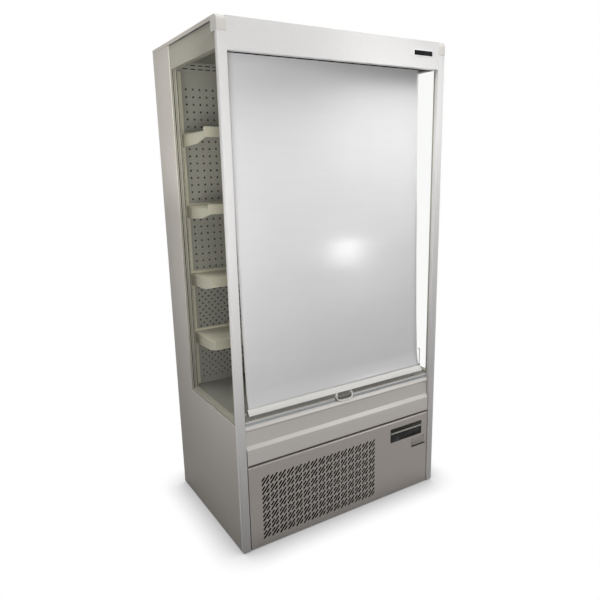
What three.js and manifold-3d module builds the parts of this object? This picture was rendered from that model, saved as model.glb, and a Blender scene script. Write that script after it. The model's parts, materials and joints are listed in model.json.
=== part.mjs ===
// Slimline open multideck display fridge with glazed ends and a pull-down night blind.
//
// Units are millimetres. +Z is up, +X is to the right seen from the front, and the front faces -Y.
// The origin is the middle of the footprint on the floor. Depths are written as the distance
// behind the front plane of the uprights, and y() turns such a distance into a Y coordinate.

import * as THREE from 'three';
import { mergeVertices } from 'three/addons/utils/BufferGeometryUtils.js';
import Module from 'manifold-3d';

const wasm = await Module();
wasm.setup();

// ---------------------------------------------------------------- driving dimensions

// Whole cabinet
const WIDTH = 1000;
const DEPTH = 645;
const HEIGHT = 1950;
const WALL = 33;
const GAP = 0.3;
const SHEET = 2;

// Base and feet
const PANEL_CLEARANCE = 5;
const BASE_HEIGHT = 28;
const BASE_RAIL = 32;
const FOOT_RADIUS = 20;
const FOOT_DISC = 8;
const FOOT_STEM_RADIUS = 6;
const FOOT_SIDE_INSET = 70;
const FOOT_END_INSET = 50;

// Service panel, with its slotted grille, and the riser above it
const FRONT_INSET = 2;
const FRONT_SIDE_GAP = 4;
const SERVICE_HEIGHT = 352.5;
const SERVICE_FLANGE = 18;
const SHADOW_GAP = 8.5;
const RISER_HEIGHT = 159;
const RISER_FOOT_HEIGHT = 64.3;
const RISER_CHAMFER = 16;
const RISER_NOSE_HEIGHT = 25;
const RISER_STEP = 7;
const RISER_NOSE_RADIUS = 8;
const RISER_THICKNESS = 21.7;
const GRILLE_LEFT_MARGIN = 53;
const GRILLE_RIGHT_MARGIN = 85;
const GRILLE_BOTTOM_MARGIN = 29;
const GRILLE_TOP_MARGIN = 50;
const CELL_WIDTH = 37.7;
const CELL_HEIGHT = 39;
const SLOT_WIDTH = 4.6;
const LONG_SLOT = 44;
const SHORT_SLOT = 20;
const SLOT_ANGLE = THREE.MathUtils.degToRad(48.5);
const SHORT_SLOT_SHIFT = 11.3;

// Controller in the service panel
const CONTROL_WIDTH = 183;
const CONTROL_HEIGHT = 64;
const CONTROL_RIGHT_MARGIN = 36;
const CONTROL_TOP_MARGIN = 33.5;
const CONTROL_BEZEL_LIP = 4;
const CONTROL_BEZEL = 1.2;
const CONTROL_BODY_DEPTH = 52;
const KEY_RADIUS = 4;
const KEY_LENGTH = 3.4;
const KEY_PROUD = 0.4;
const KEY_TRAVEL = 0.8;
const KEY_PITCH = 18;
const KEY_MARGIN = 21;
const KEY_HEIGHT = 18;

// End walls
const UPRIGHT_DEPTH = 18;
const UPRIGHT_RADIUS = 4;
const CAP_HEIGHT = 50;
const CAP_DEPTH = 50;
const CAP_NOSE_RADIUS = 20;
const CAP_HEEL_RADIUS = 12;
const REAR_STRIP = 187;
const ROOF_THICKNESS = 14;
const PANE = 4;
const PANE_INSET = 0.5;
const SPACER_RIM = 12;
const LIGHT_BAND = 86;

// Canopy
const HEADER_DROP = 106;
const HEADER_TOP_INSET = 3;
const HEADER_LIP = 20;
const CEILING_DROP = 60;
const DISCHARGE_DROP = 100;
const DISCHARGE_FRONT = 94;
const DISCHARGE_DEPTH = 58;
const DISCHARGE_RAMP = 20;
const DISCHARGE_SLOT_WIDTH = 20;
const DISCHARGE_SLOT_DEPTH = 22;
const DISCHARGE_SLOT_PITCH = 28;
const LAMP_SIDE_GAP = 37;
const LAMP_DEPTH = 20;
const LAMP_HEIGHT = 12;
const LAMP_FRONT = 98;

// Insulation, air duct and interior
const BACK_THICKNESS = 44;
const BACK_INSET = 1;
const DUCT_DEPTH = 93;
const WELL_THICKNESS = 30;
const DUCT_SLOT_PITCH = 32;
const DUCT_SLOT_LENGTH = 22;
const DUCT_SLOT_HEIGHT = 4;
const DUCT_SLOT_DROP = 10;
const DUCT_SLOT_ROW_PITCH = 14;

// Shelving
const STANDARD_WIDTH = 24;
const STANDARD_DEPTH = 12;
const STANDARD_SHEET = 1.5;
const STANDARD_RISE = 8;
const STANDARD_SIDE_GAP = 1;
const HOLE_PITCH = 28.4;
const HOLE_HEIGHT = 14;
const HOLE_WIDTH = 4.4;
const LOWEST_SHELF_RISE = 250;
const SHELF_STEPS = [0, 9, 19, 29];
const SHELF_DEPTH = 240;
const SHELF_SIDE_GAP = 9;
const SHELF_LIP_UP = 14;
const SHELF_LIP_DOWN = 22;
const SHELF_BACK_LIP = 10;
const BRACKET_SHEET = 3;
const BRACKET_DEPTH = 42;
const BRACKET_NOSE = 25;
const BRACKET_TAPER = 72;
const TAB_DROP = 12;
const TAB_HEIGHT = 9;
const TAB_REACH = 5;

// Deck and return air grille
const GRILLE_LIP_DROP = 13;
const GRILLE_SLOPE = 15;
const GRILLE_DEPTH = 74;
const GRILLE_BACK_LIP = 10;
const RETURN_SLOT_PITCH = 22;
const RETURN_SLOT_WIDTH = 14;
const RETURN_SLOT_DEPTH = 50;
const HAND_NOTCH = 90;

// Night blind
const ROLLER_SETBACK = 57.5;
const ROLLER_DROP = 57;
const ROLLER_RADIUS = 18;
const WOUND_RADIUS = 22.5;
const ROLLER_END_GAP = 11;
const WOUND_END_GAP = 14;
const PIN_RADIUS = 5;
const PIN_CLEARANCE = 0.4;
const PIN_LENGTH = 24;
const BRACKET_PLATE = 3;
const BLIND_MARGIN = 34;
const BLIND_THICKNESS = 1;
const BLIND_BELLY = 7;
const BLIND_SWEEP = 60;
const BLIND_LEAN = 12;
const BAR_MARGIN = 27;
const BAR_FACE = 26;
const BAR_THICKNESS = 9;
const BAR_CORNER = 1.5;
const BAR_TILT = THREE.MathUtils.degToRad(30);
const BAR_SETBACK = 19;
const BAR_RISE = 21;
const WIRE_SIDES = 8;
const HANDLE_WIDTH = 82;
const HANDLE_WIRE = 3;
const HANDLE_LEG = 14;
const HANDLE_DROP = 29;
const HANDLE_GRIP = 26;
const LUG_WIDTH = 4;
const LUG_SIZE = 10;
const LUG_DROP = 6;
const HOOK_WIRE = 1.5;
const HOOK_HEIGHT = 80;
const HOOK_REACH = 9;

// Refrigeration
const CONDENSER_WIDTH = 540;
const CONDENSER_HEIGHT = 288;
const CONDENSER_FRONT = 60;
const CONDENSER_DEPTH = 50;
const CONDENSER_FAN_RADIUS = 105;
const EVAPORATOR_WIDTH = 760;
const EVAPORATOR_HEIGHT = 118;
const EVAPORATOR_FRONT = 150;
const EVAPORATOR_DEPTH = 120;
const EVAPORATOR_FAN_RADIUS = 46;
const FIN_PITCH = 36;
const FIN_THICKNESS = 3;
const SHROUD = 2;
const FAN_CLEARANCE = 5;
const FAN_HUB_RATIO = 0.25;
const FAN_HUB_DEPTH = 18;
const FAN_BLADES = 5;
const FAN_BLADE_PITCH = THREE.MathUtils.degToRad(30);
const BLADE_SHEET = 1.6;
const MOTOR_RATIO = 0.3;
const MOTOR_DEPTH = 40;
const SHAFT_RADIUS = 3;
const ARM_HEIGHT = 10;
const ARM_SHEET = 4;
const COMPRESSOR_RADIUS = 78;
const COMPRESSOR_HEIGHT = 190;
const COMPRESSOR_PLATE = 4;
const COMPRESSOR_BACK_GAP = 110;
const TRAY_WIDTH = 300;
const TRAY_DEPTH = 200;
const TRAY_HEIGHT = 50;
const TRAY_WALL = 3;
const TRAY_BACK_GAP = 8;
const TRAY_SIDE_GAP = 60;
const REAR_SLOT_AREA = 225;
const REAR_SLOT_PITCH = 22;
const REAR_SLOT_LENGTH = 300;
const REAR_SLOT_HEIGHT = 8;
const GLAND_RADIUS = 13;
const GLAND_BORE = 5;
const GLAND_LENGTH = 2.4;
const GLAND_HEIGHT = 50;
const GLAND_SIDE_GAP = 60;

// ---------------------------------------------------------------- worked-out places

const inner = WIDTH / 2 - WALL;
const fitted = inner - GAP;
const frontHalf = inner - FRONT_SIDE_GAP;
const serviceTop = PANEL_CLEARANCE + SERVICE_HEIGHT;
const riserFoot = serviceTop + SHADOW_GAP;
const riserTop = riserFoot + RISER_HEIGHT;
const riserBack = FRONT_INSET + RISER_THICKNESS;
const deckHeight = riserTop + GRILLE_LIP_DROP;
const sillHeight = deckHeight - SHEET;
const lowestShelf = deckHeight + LOWEST_SHELF_RISE;
const barHeight = deckHeight + BAR_RISE;
const wellFloor = riserFoot + WELL_THICKNESS;
const roofFoot = HEIGHT - ROOF_THICKNESS;
const capFoot = HEIGHT - CAP_HEIGHT;
const windowBack = DEPTH - REAR_STRIP;
const backInner = DEPTH - BACK_INSET - BACK_THICKNESS;
const ductPanel = backInner - DUCT_DEPTH - SHEET;
const ceiling = HEIGHT - CEILING_DROP;
const discharge = HEIGHT - DISCHARGE_DROP;
const basePlate = BASE_HEIGHT + SHEET;
const baseFront = FRONT_INSET + SERVICE_FLANGE + GAP;
const standardCentre = inner - STANDARD_SIDE_GAP - STANDARD_WIDTH / 2;
const standardFace = ductPanel - GAP - STANDARD_DEPTH;
const grilleFront = riserBack + 2 * GAP;
const grilleBack = grilleFront + GRILLE_DEPTH;
const rollerHeight = HEIGHT - ROLLER_DROP;
const controlRight = frontHalf - CONTROL_RIGHT_MARGIN;
const controlTop = serviceTop - CONTROL_TOP_MARGIN;
const controlFoot = controlTop - CONTROL_HEIGHT;
const handlePivot = { depth: BAR_SETBACK + 1.5, height: barHeight - LUG_DROP };

const riserFace = {
  foot: FRONT_INSET + GAP,
  recess: FRONT_INSET + GAP + RISER_STEP,
  nose: FRONT_INSET + GAP + RISER_STEP / 2,
};

const y = (depth) => depth - DEPTH / 2;

// ---------------------------------------------------------------- materials

function finish(color, roughness, metalness, opacity = 1) {
  return new THREE.MeshStandardMaterial({ color, roughness, metalness, opacity, transparent: opacity < 1 });
}

const whitePaint = finish(0xdcdad6, 0.35, 0.1);
const greyPaint = finish(0xb4aca4, 0.4, 0.1);
const satinSteel = finish(0xa09b95, 0.38, 0.85);
const brightTrim = finish(0xe4e4e2, 0.25, 0.4);
const capPlastic = finish(0xd2cfc8, 0.5, 0);
const clearGlass = finish(0xb9c7bc, 0.05, 0, 0.3);
const oliveTrim = finish(0xa5a696, 0.55, 0.1);
const blindWeave = finish(0xc9c8c6, 0.6, 0.3);
const barPaint = finish(0xf2f2f0, 0.35, 0.1);
const darkWire = finish(0x55524e, 0.4, 0.7);
const linerPaint = finish(0x8d8a80, 0.55, 0.1);
const creamPaint = finish(0xd8d4c4, 0.5, 0.1);
const blackPlastic = finish(0x16151a, 0.35, 0);
const keyRubber = finish(0x4a4a50, 0.7, 0);
const galvanised = finish(0x8f9294, 0.45, 0.7);
const finAluminium = finish(0x9a9c9c, 0.45, 0.8);
const blackEnamel = finish(0x1c1c1e, 0.45, 0.2);
const lampDiffuser = finish(0xf4f4ee, 0.3, 0);
const rubberGrey = finish(0x3a3a3a, 0.8, 0);

// ---------------------------------------------------------------- shaping helpers

function mesh(name, geometry, material) {
  const made = new THREE.Mesh(geometry, material);
  made.name = name;
  return made;
}

function box(xLow, xHigh, depthLow, depthHigh, zLow, zHigh) {
  const geometry = new THREE.BoxGeometry(xHigh - xLow, depthHigh - depthLow, zHigh - zLow);
  geometry.translate((xLow + xHigh) / 2, y((depthLow + depthHigh) / 2), (zLow + zHigh) / 2);
  return geometry;
}

function outline(points) {
  return new THREE.Shape(points.map(([across, up]) => new THREE.Vector2(across, up)));
}

function extrude(shape, length, segments = 4) {
  return new THREE.ExtrudeGeometry(shape, { depth: length, bevelEnabled: false, curveSegments: segments });
}

// A (depth, height) shape drawn out from xLow to xHigh.
function alongX(shape, xLow, xHigh, segments) {
  const geometry = extrude(shape, xHigh - xLow, segments);
  const turn = new THREE.Matrix4().makeBasis(
    new THREE.Vector3(0, 1, 0), new THREE.Vector3(0, 0, 1), new THREE.Vector3(1, 0, 0));
  geometry.applyMatrix4(turn);
  geometry.translate(xLow, y(0), 0);
  return geometry;
}

// An (x, height) shape drawn out from depthLow to depthHigh.
function alongY(shape, depthLow, depthHigh, segments) {
  const geometry = extrude(shape, depthHigh - depthLow, segments);
  geometry.rotateX(Math.PI / 2);
  geometry.translate(0, y(depthHigh), 0);
  return geometry;
}

// An (x, depth) shape drawn out from zLow to zHigh.
function alongZ(shape, zLow, zHigh, segments) {
  const geometry = extrude(shape, zHigh - zLow, segments);
  geometry.translate(0, y(0), zLow);
  return geometry;
}

// A round bar along Y.
function barY(x, depthLow, depthHigh, z, radius, segments = 20) {
  const geometry = new THREE.CylinderGeometry(radius, radius, depthHigh - depthLow, segments);
  geometry.translate(x, y((depthLow + depthHigh) / 2), z);
  return geometry;
}

// A round bar along X.
function barX(xLow, xHigh, depth, z, radius, segments = 16) {
  const geometry = new THREE.CylinderGeometry(radius, radius, xHigh - xLow, segments);
  geometry.rotateZ(Math.PI / 2);
  geometry.translate((xLow + xHigh) / 2, y(depth), z);
  return geometry;
}

// A wire of round section along a curve.
function wire(curve, radius, steps) {
  const section = new THREE.Shape();
  section.absarc(0, 0, radius, 0, 2 * Math.PI, false);
  const options = { steps, extrudePath: curve, bevelEnabled: false, curveSegments: WIRE_SIDES / 2 };
  return new THREE.ExtrudeGeometry(section, options);
}

function toSolid(geometry) {
  const bare = geometry.clone();
  bare.deleteAttribute('normal');
  bare.deleteAttribute('uv');
  const merged = mergeVertices(bare, 1e-4);
  const vertProperties = new Float32Array(merged.attributes.position.array);
  const triVerts = new Uint32Array(merged.index.array);
  return new wasm.Manifold(new wasm.Mesh({ numProp: 3, vertProperties, triVerts }));
}

function toGeometry(solid) {
  const result = solid.getMesh();
  const geometry = new THREE.BufferGeometry();
  geometry.setAttribute('position', new THREE.BufferAttribute(new Float32Array(result.vertProperties), 3));
  geometry.setIndex(new THREE.BufferAttribute(new Uint32Array(result.triVerts), 1));
  return geometry;
}

function join(...geometries) {
  return toGeometry(geometries.map(toSolid).reduce((whole, next) => whole.add(next)));
}

function cut(geometry, ...tools) {
  return toGeometry(tools.map(toSolid).reduce((whole, tool) => whole.subtract(tool), toSolid(geometry)));
}

// A flat sheet facing the front, with holes punched through it.
function punched(shape, holes, depthLow, depthHigh) {
  const tools = holes.map((hole) => alongY(hole, depthLow - 1, depthHigh + 1));
  return cut(alongY(shape, depthLow, depthHigh), ...tools);
}

// Both ends of a span on one side of the cabinet, low value first.
function span(side, near, far) {
  return [side * near, side * far].sort((a, b) => a - b);
}

// A straight slot with square ends about (across, up), turned by angle.
function slotHole(across, up, length, width, angle = 0) {
  const along = new THREE.Vector2(Math.cos(angle), Math.sin(angle)).multiplyScalar(length / 2);
  const beside = new THREE.Vector2(-Math.sin(angle), Math.cos(angle)).multiplyScalar(width / 2);
  const centre = new THREE.Vector2(across, up);
  const corners = [[-1, -1], [1, -1], [1, 1], [-1, 1]].map(([s, t]) =>
    centre.clone().addScaledVector(along, s).addScaledVector(beside, t));
  return new THREE.Shape(corners);
}

// Evenly spaced places about zero, as many as fit in the width.
function centredRow(width, pitch) {
  const count = Math.floor(width / pitch);
  return Array.from({ length: count }, (_, index) => (index - (count - 1) / 2) * pitch);
}

const SIDES = [['left', -1], ['right', 1]];

// ---------------------------------------------------------------- base

function baseFrame() {
  const back = backInner + 40;
  return alongX(outline([
    [baseFront, BASE_HEIGHT], [back, BASE_HEIGHT], [back, BASE_HEIGHT + BASE_RAIL],
    [back - SHEET, BASE_HEIGHT + BASE_RAIL], [back - SHEET, basePlate], [baseFront + SHEET, basePlate],
    [baseFront + SHEET, BASE_HEIGHT + BASE_RAIL], [baseFront, BASE_HEIGHT + BASE_RAIL],
  ]), -fitted, fitted);
}

function foot() {
  const rim = 2;
  const profile = [
    [0, 0], [FOOT_RADIUS - rim, 0], [FOOT_RADIUS, rim], [FOOT_RADIUS, FOOT_DISC - rim],
    [FOOT_STEM_RADIUS, FOOT_DISC], [FOOT_STEM_RADIUS, BASE_HEIGHT - GAP], [0, BASE_HEIGHT - GAP],
  ].map(([radius, height]) => new THREE.Vector2(radius, height));
  return new THREE.LatheGeometry(profile, 16).rotateX(Math.PI / 2);
}

function rearCover() {
  const front = backInner + 40 + GAP;
  const top = riserFoot - GAP;
  const shape = outline([[-fitted, BASE_HEIGHT], [fitted, BASE_HEIGHT], [fitted, top], [-fitted, top]]);
  const middle = (BASE_HEIGHT + top) / 2;
  const rows = centredRow(REAR_SLOT_AREA, REAR_SLOT_PITCH).map((up) => middle + up);
  const slots = rows.flatMap((up) => [-inner / 2, inner / 2].map((across) =>
    slotHole(across, up, REAR_SLOT_LENGTH, REAR_SLOT_HEIGHT)));
  const glandAcross = inner - GLAND_SIDE_GAP;
  const back = front + SHEET;
  const plate = punched(shape, slots, front, back);
  const collar = barY(glandAcross, front, back + GLAND_LENGTH, GLAND_HEIGHT, GLAND_RADIUS);
  const bore = barY(glandAcross, front - 1, back + GLAND_LENGTH + 1, GLAND_HEIGHT, GLAND_BORE, 12);
  return cut(join(plate, collar), bore);
}

function buildBase() {
  const group = new THREE.Group();
  group.add(mesh('base_frame', baseFrame(), galvanised));
  const depths = [['front', FOOT_END_INSET], ['rear', DEPTH - FOOT_END_INSET]];
  for (const [end, depth] of depths) {
    for (const [name, side] of SIDES) {
      const one = mesh(`foot_${end}_${name}`, foot(), rubberGrey);
      one.position.set(side * (WIDTH / 2 - FOOT_SIDE_INSET), y(depth), 0);
      group.add(one);
    }
  }
  group.add(mesh('rear_machine_cover', rearCover(), galvanised));
  return group;
}

// ---------------------------------------------------------------- insulated shell

function insulatedWell() {
  const front = riserBack + GAP;
  const back = backInner - GAP;
  const top = riserTop - GAP;
  return alongX(outline([
    [front, riserFoot], [back, riserFoot], [back, wellFloor], [front + WELL_THICKNESS, wellFloor],
    [front + WELL_THICKNESS, top], [front, top],
  ]), -fitted, fitted);
}

function sidePanel(side) {
  const front = UPRIGHT_DEPTH + GAP;
  const shape = outline([
    [front, PANEL_CLEARANCE], [DEPTH, PANEL_CLEARANCE], [DEPTH, roofFoot - GAP],
    [windowBack, roofFoot - GAP], [windowBack, sillHeight], [front, sillHeight],
  ]);
  return alongX(shape, ...span(side, inner, WIDTH / 2));
}

function buildShell() {
  const group = new THREE.Group();
  group.add(mesh('insulated_well', insulatedWell(), greyPaint));
  const back = box(-fitted, fitted, backInner, DEPTH - BACK_INSET, riserFoot, roofFoot - GAP);
  group.add(mesh('insulated_back', back, greyPaint));
  const roof = box(-WIDTH / 2, WIDTH / 2, CAP_DEPTH + GAP, DEPTH, roofFoot, HEIGHT);
  group.add(mesh('roof_panel', roof, greyPaint));
  for (const [name, side] of SIDES) {
    group.add(mesh(`${name}_side_panel`, sidePanel(side), greyPaint));
  }
  return group;
}

// ---------------------------------------------------------------- glazed ends

// The window's outline, with the end cap's rounded heel cut out of its top front corner.
function drawWindow(path) {
  const front = UPRIGHT_DEPTH + GAP;
  const back = windowBack - GAP;
  const foot = sillHeight + GAP;
  const top = roofFoot - GAP;
  path.moveTo(front, foot);
  path.lineTo(back, foot);
  path.lineTo(back, top);
  path.lineTo(CAP_DEPTH + GAP, top);
  const heelDepth = CAP_DEPTH - CAP_HEEL_RADIUS;
  path.absarc(heelDepth, capFoot + CAP_HEEL_RADIUS, CAP_HEEL_RADIUS + GAP, 0, -Math.PI / 2, true);
  path.lineTo(front, capFoot - GAP);
  path.closePath();
  return path;
}

function pane(side, near) {
  return alongX(drawWindow(new THREE.Shape()), ...span(side, near, near + PANE));
}

function glazingFrame(side) {
  const shape = drawWindow(new THREE.Shape());
  const front = UPRIGHT_DEPTH + GAP + SPACER_RIM;
  const back = windowBack - GAP - SPACER_RIM;
  const foot = sillHeight + GAP + SPACER_RIM;
  const top = roofFoot - LIGHT_BAND;
  const hole = outline([[front, foot], [back, foot], [back, top], [front, top]]);
  shape.holes.push(hole);
  const near = inner + PANE_INSET + PANE + GAP;
  const far = WIDTH / 2 - PANE_INSET - PANE - GAP;
  return alongX(shape, ...span(side, near, far));
}

function frontUpright(side) {
  const near = side * inner;
  const far = side * (WIDTH / 2);
  const corner = side * UPRIGHT_RADIUS;
  const shape = new THREE.Shape();
  shape.moveTo(near, 0);
  shape.lineTo(far - corner, 0);
  shape.quadraticCurveTo(far, 0, far, UPRIGHT_RADIUS);
  shape.lineTo(far, UPRIGHT_DEPTH);
  shape.lineTo(near, UPRIGHT_DEPTH);
  shape.closePath();
  return alongZ(shape, PANEL_CLEARANCE, capFoot - GAP);
}

function endCap(side) {
  const shape = new THREE.Shape();
  shape.moveTo(0, capFoot);
  shape.lineTo(CAP_DEPTH - CAP_HEEL_RADIUS, capFoot);
  shape.absarc(CAP_DEPTH - CAP_HEEL_RADIUS, capFoot + CAP_HEEL_RADIUS, CAP_HEEL_RADIUS, -Math.PI / 2, 0, false);
  shape.lineTo(CAP_DEPTH, HEIGHT);
  shape.lineTo(CAP_NOSE_RADIUS, HEIGHT);
  shape.absarc(CAP_NOSE_RADIUS, HEIGHT - CAP_NOSE_RADIUS, CAP_NOSE_RADIUS, Math.PI / 2, Math.PI, false);
  shape.closePath();
  return alongX(shape, ...span(side, inner, WIDTH / 2), 6);
}

function buildEnds() {
  const group = new THREE.Group();
  for (const [name, side] of SIDES) {
    group.add(mesh(`${name}_front_upright`, frontUpright(side), whitePaint));
    group.add(mesh(`${name}_end_cap`, endCap(side), capPlastic));
    group.add(mesh(`${name}_outer_pane`, pane(side, WIDTH / 2 - PANE_INSET - PANE), clearGlass));
    group.add(mesh(`${name}_inner_pane`, pane(side, inner + PANE_INSET), clearGlass));
    group.add(mesh(`${name}_glazing_frame`, glazingFrame(side), oliveTrim));
  }
  return group;
}

// ---------------------------------------------------------------- canopy

function canopyHeader() {
  const face = FRONT_INSET;
  const foot = HEIGHT - HEADER_DROP;
  const top = HEIGHT - HEADER_TOP_INSET;
  const lip = face + SHEET + HEADER_LIP;
  return alongX(outline([
    [face, foot], [lip, foot], [lip, foot + SHEET], [face + SHEET, foot + SHEET],
    [face + SHEET, top - SHEET], [CAP_DEPTH, top - SHEET], [CAP_DEPTH, top], [face, top],
  ]), -fitted, fitted);
}

// The ceiling liner, which drops at the front to the slotted cold air outlet.
function canopyCeiling() {
  const rampFoot = DISCHARGE_FRONT + DISCHARGE_DEPTH;
  const rampTop = rampFoot + DISCHARGE_RAMP;
  const back = ductPanel + SHEET;
  const liner = alongX(outline([
    [DISCHARGE_FRONT, discharge], [rampFoot, discharge], [rampTop, ceiling], [back, ceiling],
    [back, ceiling + SHEET], [rampTop - SHEET, ceiling + SHEET],
    [rampFoot - SHEET, discharge + SHEET], [DISCHARGE_FRONT, discharge + SHEET],
  ]), -fitted, fitted);
  const slotBack = rampFoot - 2 * SHEET;
  const slots = centredRow(2 * fitted - DISCHARGE_SLOT_PITCH, DISCHARGE_SLOT_PITCH).map((x) =>
    box(x - DISCHARGE_SLOT_WIDTH / 2, x + DISCHARGE_SLOT_WIDTH / 2, slotBack - DISCHARGE_SLOT_DEPTH, slotBack,
      discharge - 1, discharge + SHEET + 1));
  return cut(liner, ...slots);
}

function canopyLamp() {
  const top = discharge - GAP;
  const middle = LAMP_FRONT + LAMP_DEPTH / 2;
  const shape = new THREE.Shape();
  shape.moveTo(LAMP_FRONT, top);
  shape.quadraticCurveTo(LAMP_FRONT, top - LAMP_HEIGHT, middle, top - LAMP_HEIGHT);
  shape.quadraticCurveTo(LAMP_FRONT + LAMP_DEPTH, top - LAMP_HEIGHT, LAMP_FRONT + LAMP_DEPTH, top);
  shape.closePath();
  return alongX(shape, LAMP_SIDE_GAP - inner, inner - LAMP_SIDE_GAP);
}

function buildCanopy() {
  const group = new THREE.Group();
  group.add(mesh('canopy_header', canopyHeader(), whitePaint));
  group.add(mesh('canopy_ceiling', canopyCeiling(), linerPaint));
  group.add(mesh('canopy_lamp', canopyLamp(), lampDiffuser));
  return group;
}

// ---------------------------------------------------------------- night blind

function blindBracket(side) {
  const reach = ROLLER_RADIUS + 12;
  const plate = box(...span(side, fitted - BRACKET_PLATE, fitted), ROLLER_SETBACK - reach, ROLLER_SETBACK + reach,
    rollerHeight - reach, roofFoot - 1);
  const pin = barX(...span(side, fitted - BRACKET_PLATE - PIN_LENGTH, fitted - 1), ROLLER_SETBACK, rollerHeight,
    PIN_RADIUS);
  return join(plate, pin);
}

// The spring tube with the last turns of cloth still wound on it, bored at both ends for the pins.
function blindRoller() {
  const end = inner - ROLLER_END_GAP;
  const wound = end - WOUND_END_GAP;
  const bore = PIN_RADIUS + PIN_CLEARANCE;
  const boreEnd = fitted - BRACKET_PLATE - PIN_LENGTH - 2;
  const half = [[WOUND_RADIUS, wound], [ROLLER_RADIUS, wound], [ROLLER_RADIUS, end], [bore, end],
    [bore, boreEnd], [0, boreEnd]];
  const other = half.map(([radius, along]) => [radius, -along]).reverse();
  const profile = [...other, ...half].map(([radius, along]) => new THREE.Vector2(radius, along));
  const geometry = new THREE.LatheGeometry(profile, 20);
  geometry.rotateZ(Math.PI / 2);
  geometry.translate(0, y(ROLLER_SETBACK), rollerHeight);
  return geometry;
}

// Where the bar's tilted section has its corners: along its face and through its thickness.
function barPoint(along, through) {
  const depth = BAR_SETBACK + along * Math.sin(BAR_TILT) + through * Math.cos(BAR_TILT);
  const height = barHeight + along * Math.cos(BAR_TILT) - through * Math.sin(BAR_TILT);
  return [depth, height];
}

function bottomBar() {
  const half = inner - BAR_MARGIN;
  const c = BAR_CORNER;
  const section = alongX(outline([
    barPoint(c, 0), barPoint(BAR_FACE - c, 0), barPoint(BAR_FACE, c), barPoint(BAR_FACE, BAR_THICKNESS - c),
    barPoint(BAR_FACE - c, BAR_THICKNESS), barPoint(c, BAR_THICKNESS), barPoint(0, BAR_THICKNESS - c),
    barPoint(0, c),
  ]), -half, half);
  const lugs = SIDES.map(([, side]) => box(...lugSpan(side),
    handlePivot.depth - LUG_SIZE / 2, handlePivot.depth + LUG_SIZE / 2,
    handlePivot.height - LUG_SIZE / 2, handlePivot.height + LUG_SIZE / 2));
  const eyes = SIDES.map(([, side]) => barX(...span(side, HANDLE_WIDTH / 4, HANDLE_WIDTH / 2 - HANDLE_WIRE),
    handlePivot.depth, handlePivot.height, HANDLE_WIRE + PIN_CLEARANCE, 12));
  return cut(join(section, ...lugs), ...eyes);
}

function lugSpan(side) {
  const outer = HANDLE_WIDTH / 2 - HANDLE_WIRE - GAP;
  return span(side, outer - LUG_WIDTH, outer);
}

// How far the hanging bail leans forward with its grip resting on the riser's rounded nose.
function handleTilt() {
  const across = handlePivot.depth - (riserFace.nose + RISER_NOSE_RADIUS);
  const down = handlePivot.height - (riserTop - RISER_NOSE_RADIUS);
  const distance = Math.hypot(across, down);
  const touch = RISER_NOSE_RADIUS + HANDLE_WIRE + GAP;
  const cosine = (distance ** 2 + HANDLE_DROP ** 2 - touch ** 2) / (2 * distance * HANDLE_DROP);
  return cosine < 1 ? Math.atan2(across, down) + Math.acos(cosine) : 0;
}

// The bail is bent from one wire: a pin through each lug, two legs and a drooping grip.
function blindHandle() {
  const pinEnd = HANDLE_WIDTH / 2 - HANDLE_WIRE - GAP - LUG_WIDTH;
  const half = HANDLE_WIDTH / 2;
  const bend = HANDLE_WIRE;
  const tilt = handleTilt();
  const at = (x, drop) => new THREE.Vector3(x, -drop * Math.sin(tilt), -drop * Math.cos(tilt));
  const curve = new THREE.CurvePath();
  const leg = (side) => [
    new THREE.LineCurve3(at(side * pinEnd, 0), at(side * (half - bend), 0)),
    new THREE.QuadraticBezierCurve3(at(side * (half - bend), 0), at(side * half, 0), at(side * half, bend)),
    new THREE.LineCurve3(at(side * half, bend), at(side * half, HANDLE_LEG)),
    new THREE.QuadraticBezierCurve3(at(side * half, HANDLE_LEG), at(side * half, HANDLE_DROP),
      at(side * HANDLE_GRIP / 2, HANDLE_DROP)),
  ];
  const back = leg(1).reverse().map((one) => reversed(one));
  const grip = new THREE.LineCurve3(at(-HANDLE_GRIP / 2, HANDLE_DROP), at(HANDLE_GRIP / 2, HANDLE_DROP));
  [...leg(-1), grip, ...back].forEach((one) => curve.add(one));
  const geometry = wire(curve, HANDLE_WIRE, 28);
  geometry.translate(0, y(handlePivot.depth), handlePivot.height);
  return geometry;
}

function reversed(curve) {
  if (curve.isLineCurve3) {
    return new THREE.LineCurve3(curve.v2, curve.v1);
  }
  return new THREE.QuadraticBezierCurve3(curve.v2, curve.v1, curve.v0);
}

// The stay hook stands on the bar's right end and bends over towards the cloth.
function stayHook() {
  const [depth, top] = barPoint(BAR_FACE, BAR_THICKNESS / 2);
  const x = inner - BAR_MARGIN - 2 * HOOK_WIRE;
  const foot = top + GAP + HOOK_WIRE;
  const bend = 3 * HOOK_WIRE;
  const curve = new THREE.CurvePath();
  const high = foot + HOOK_HEIGHT;
  curve.add(new THREE.LineCurve3(new THREE.Vector3(x, 0, foot), new THREE.Vector3(x, 0, high - bend)));
  curve.add(new THREE.QuadraticBezierCurve3(new THREE.Vector3(x, 0, high - bend), new THREE.Vector3(x, 0, high),
    new THREE.Vector3(x - bend, 0, high)));
  curve.add(new THREE.LineCurve3(new THREE.Vector3(x - bend, 0, high), new THREE.Vector3(x - HOOK_REACH, 0, high)));
  const geometry = wire(curve, HOOK_WIRE, 12);
  geometry.translate(0, y(depth), 0);
  return geometry;
}

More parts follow.
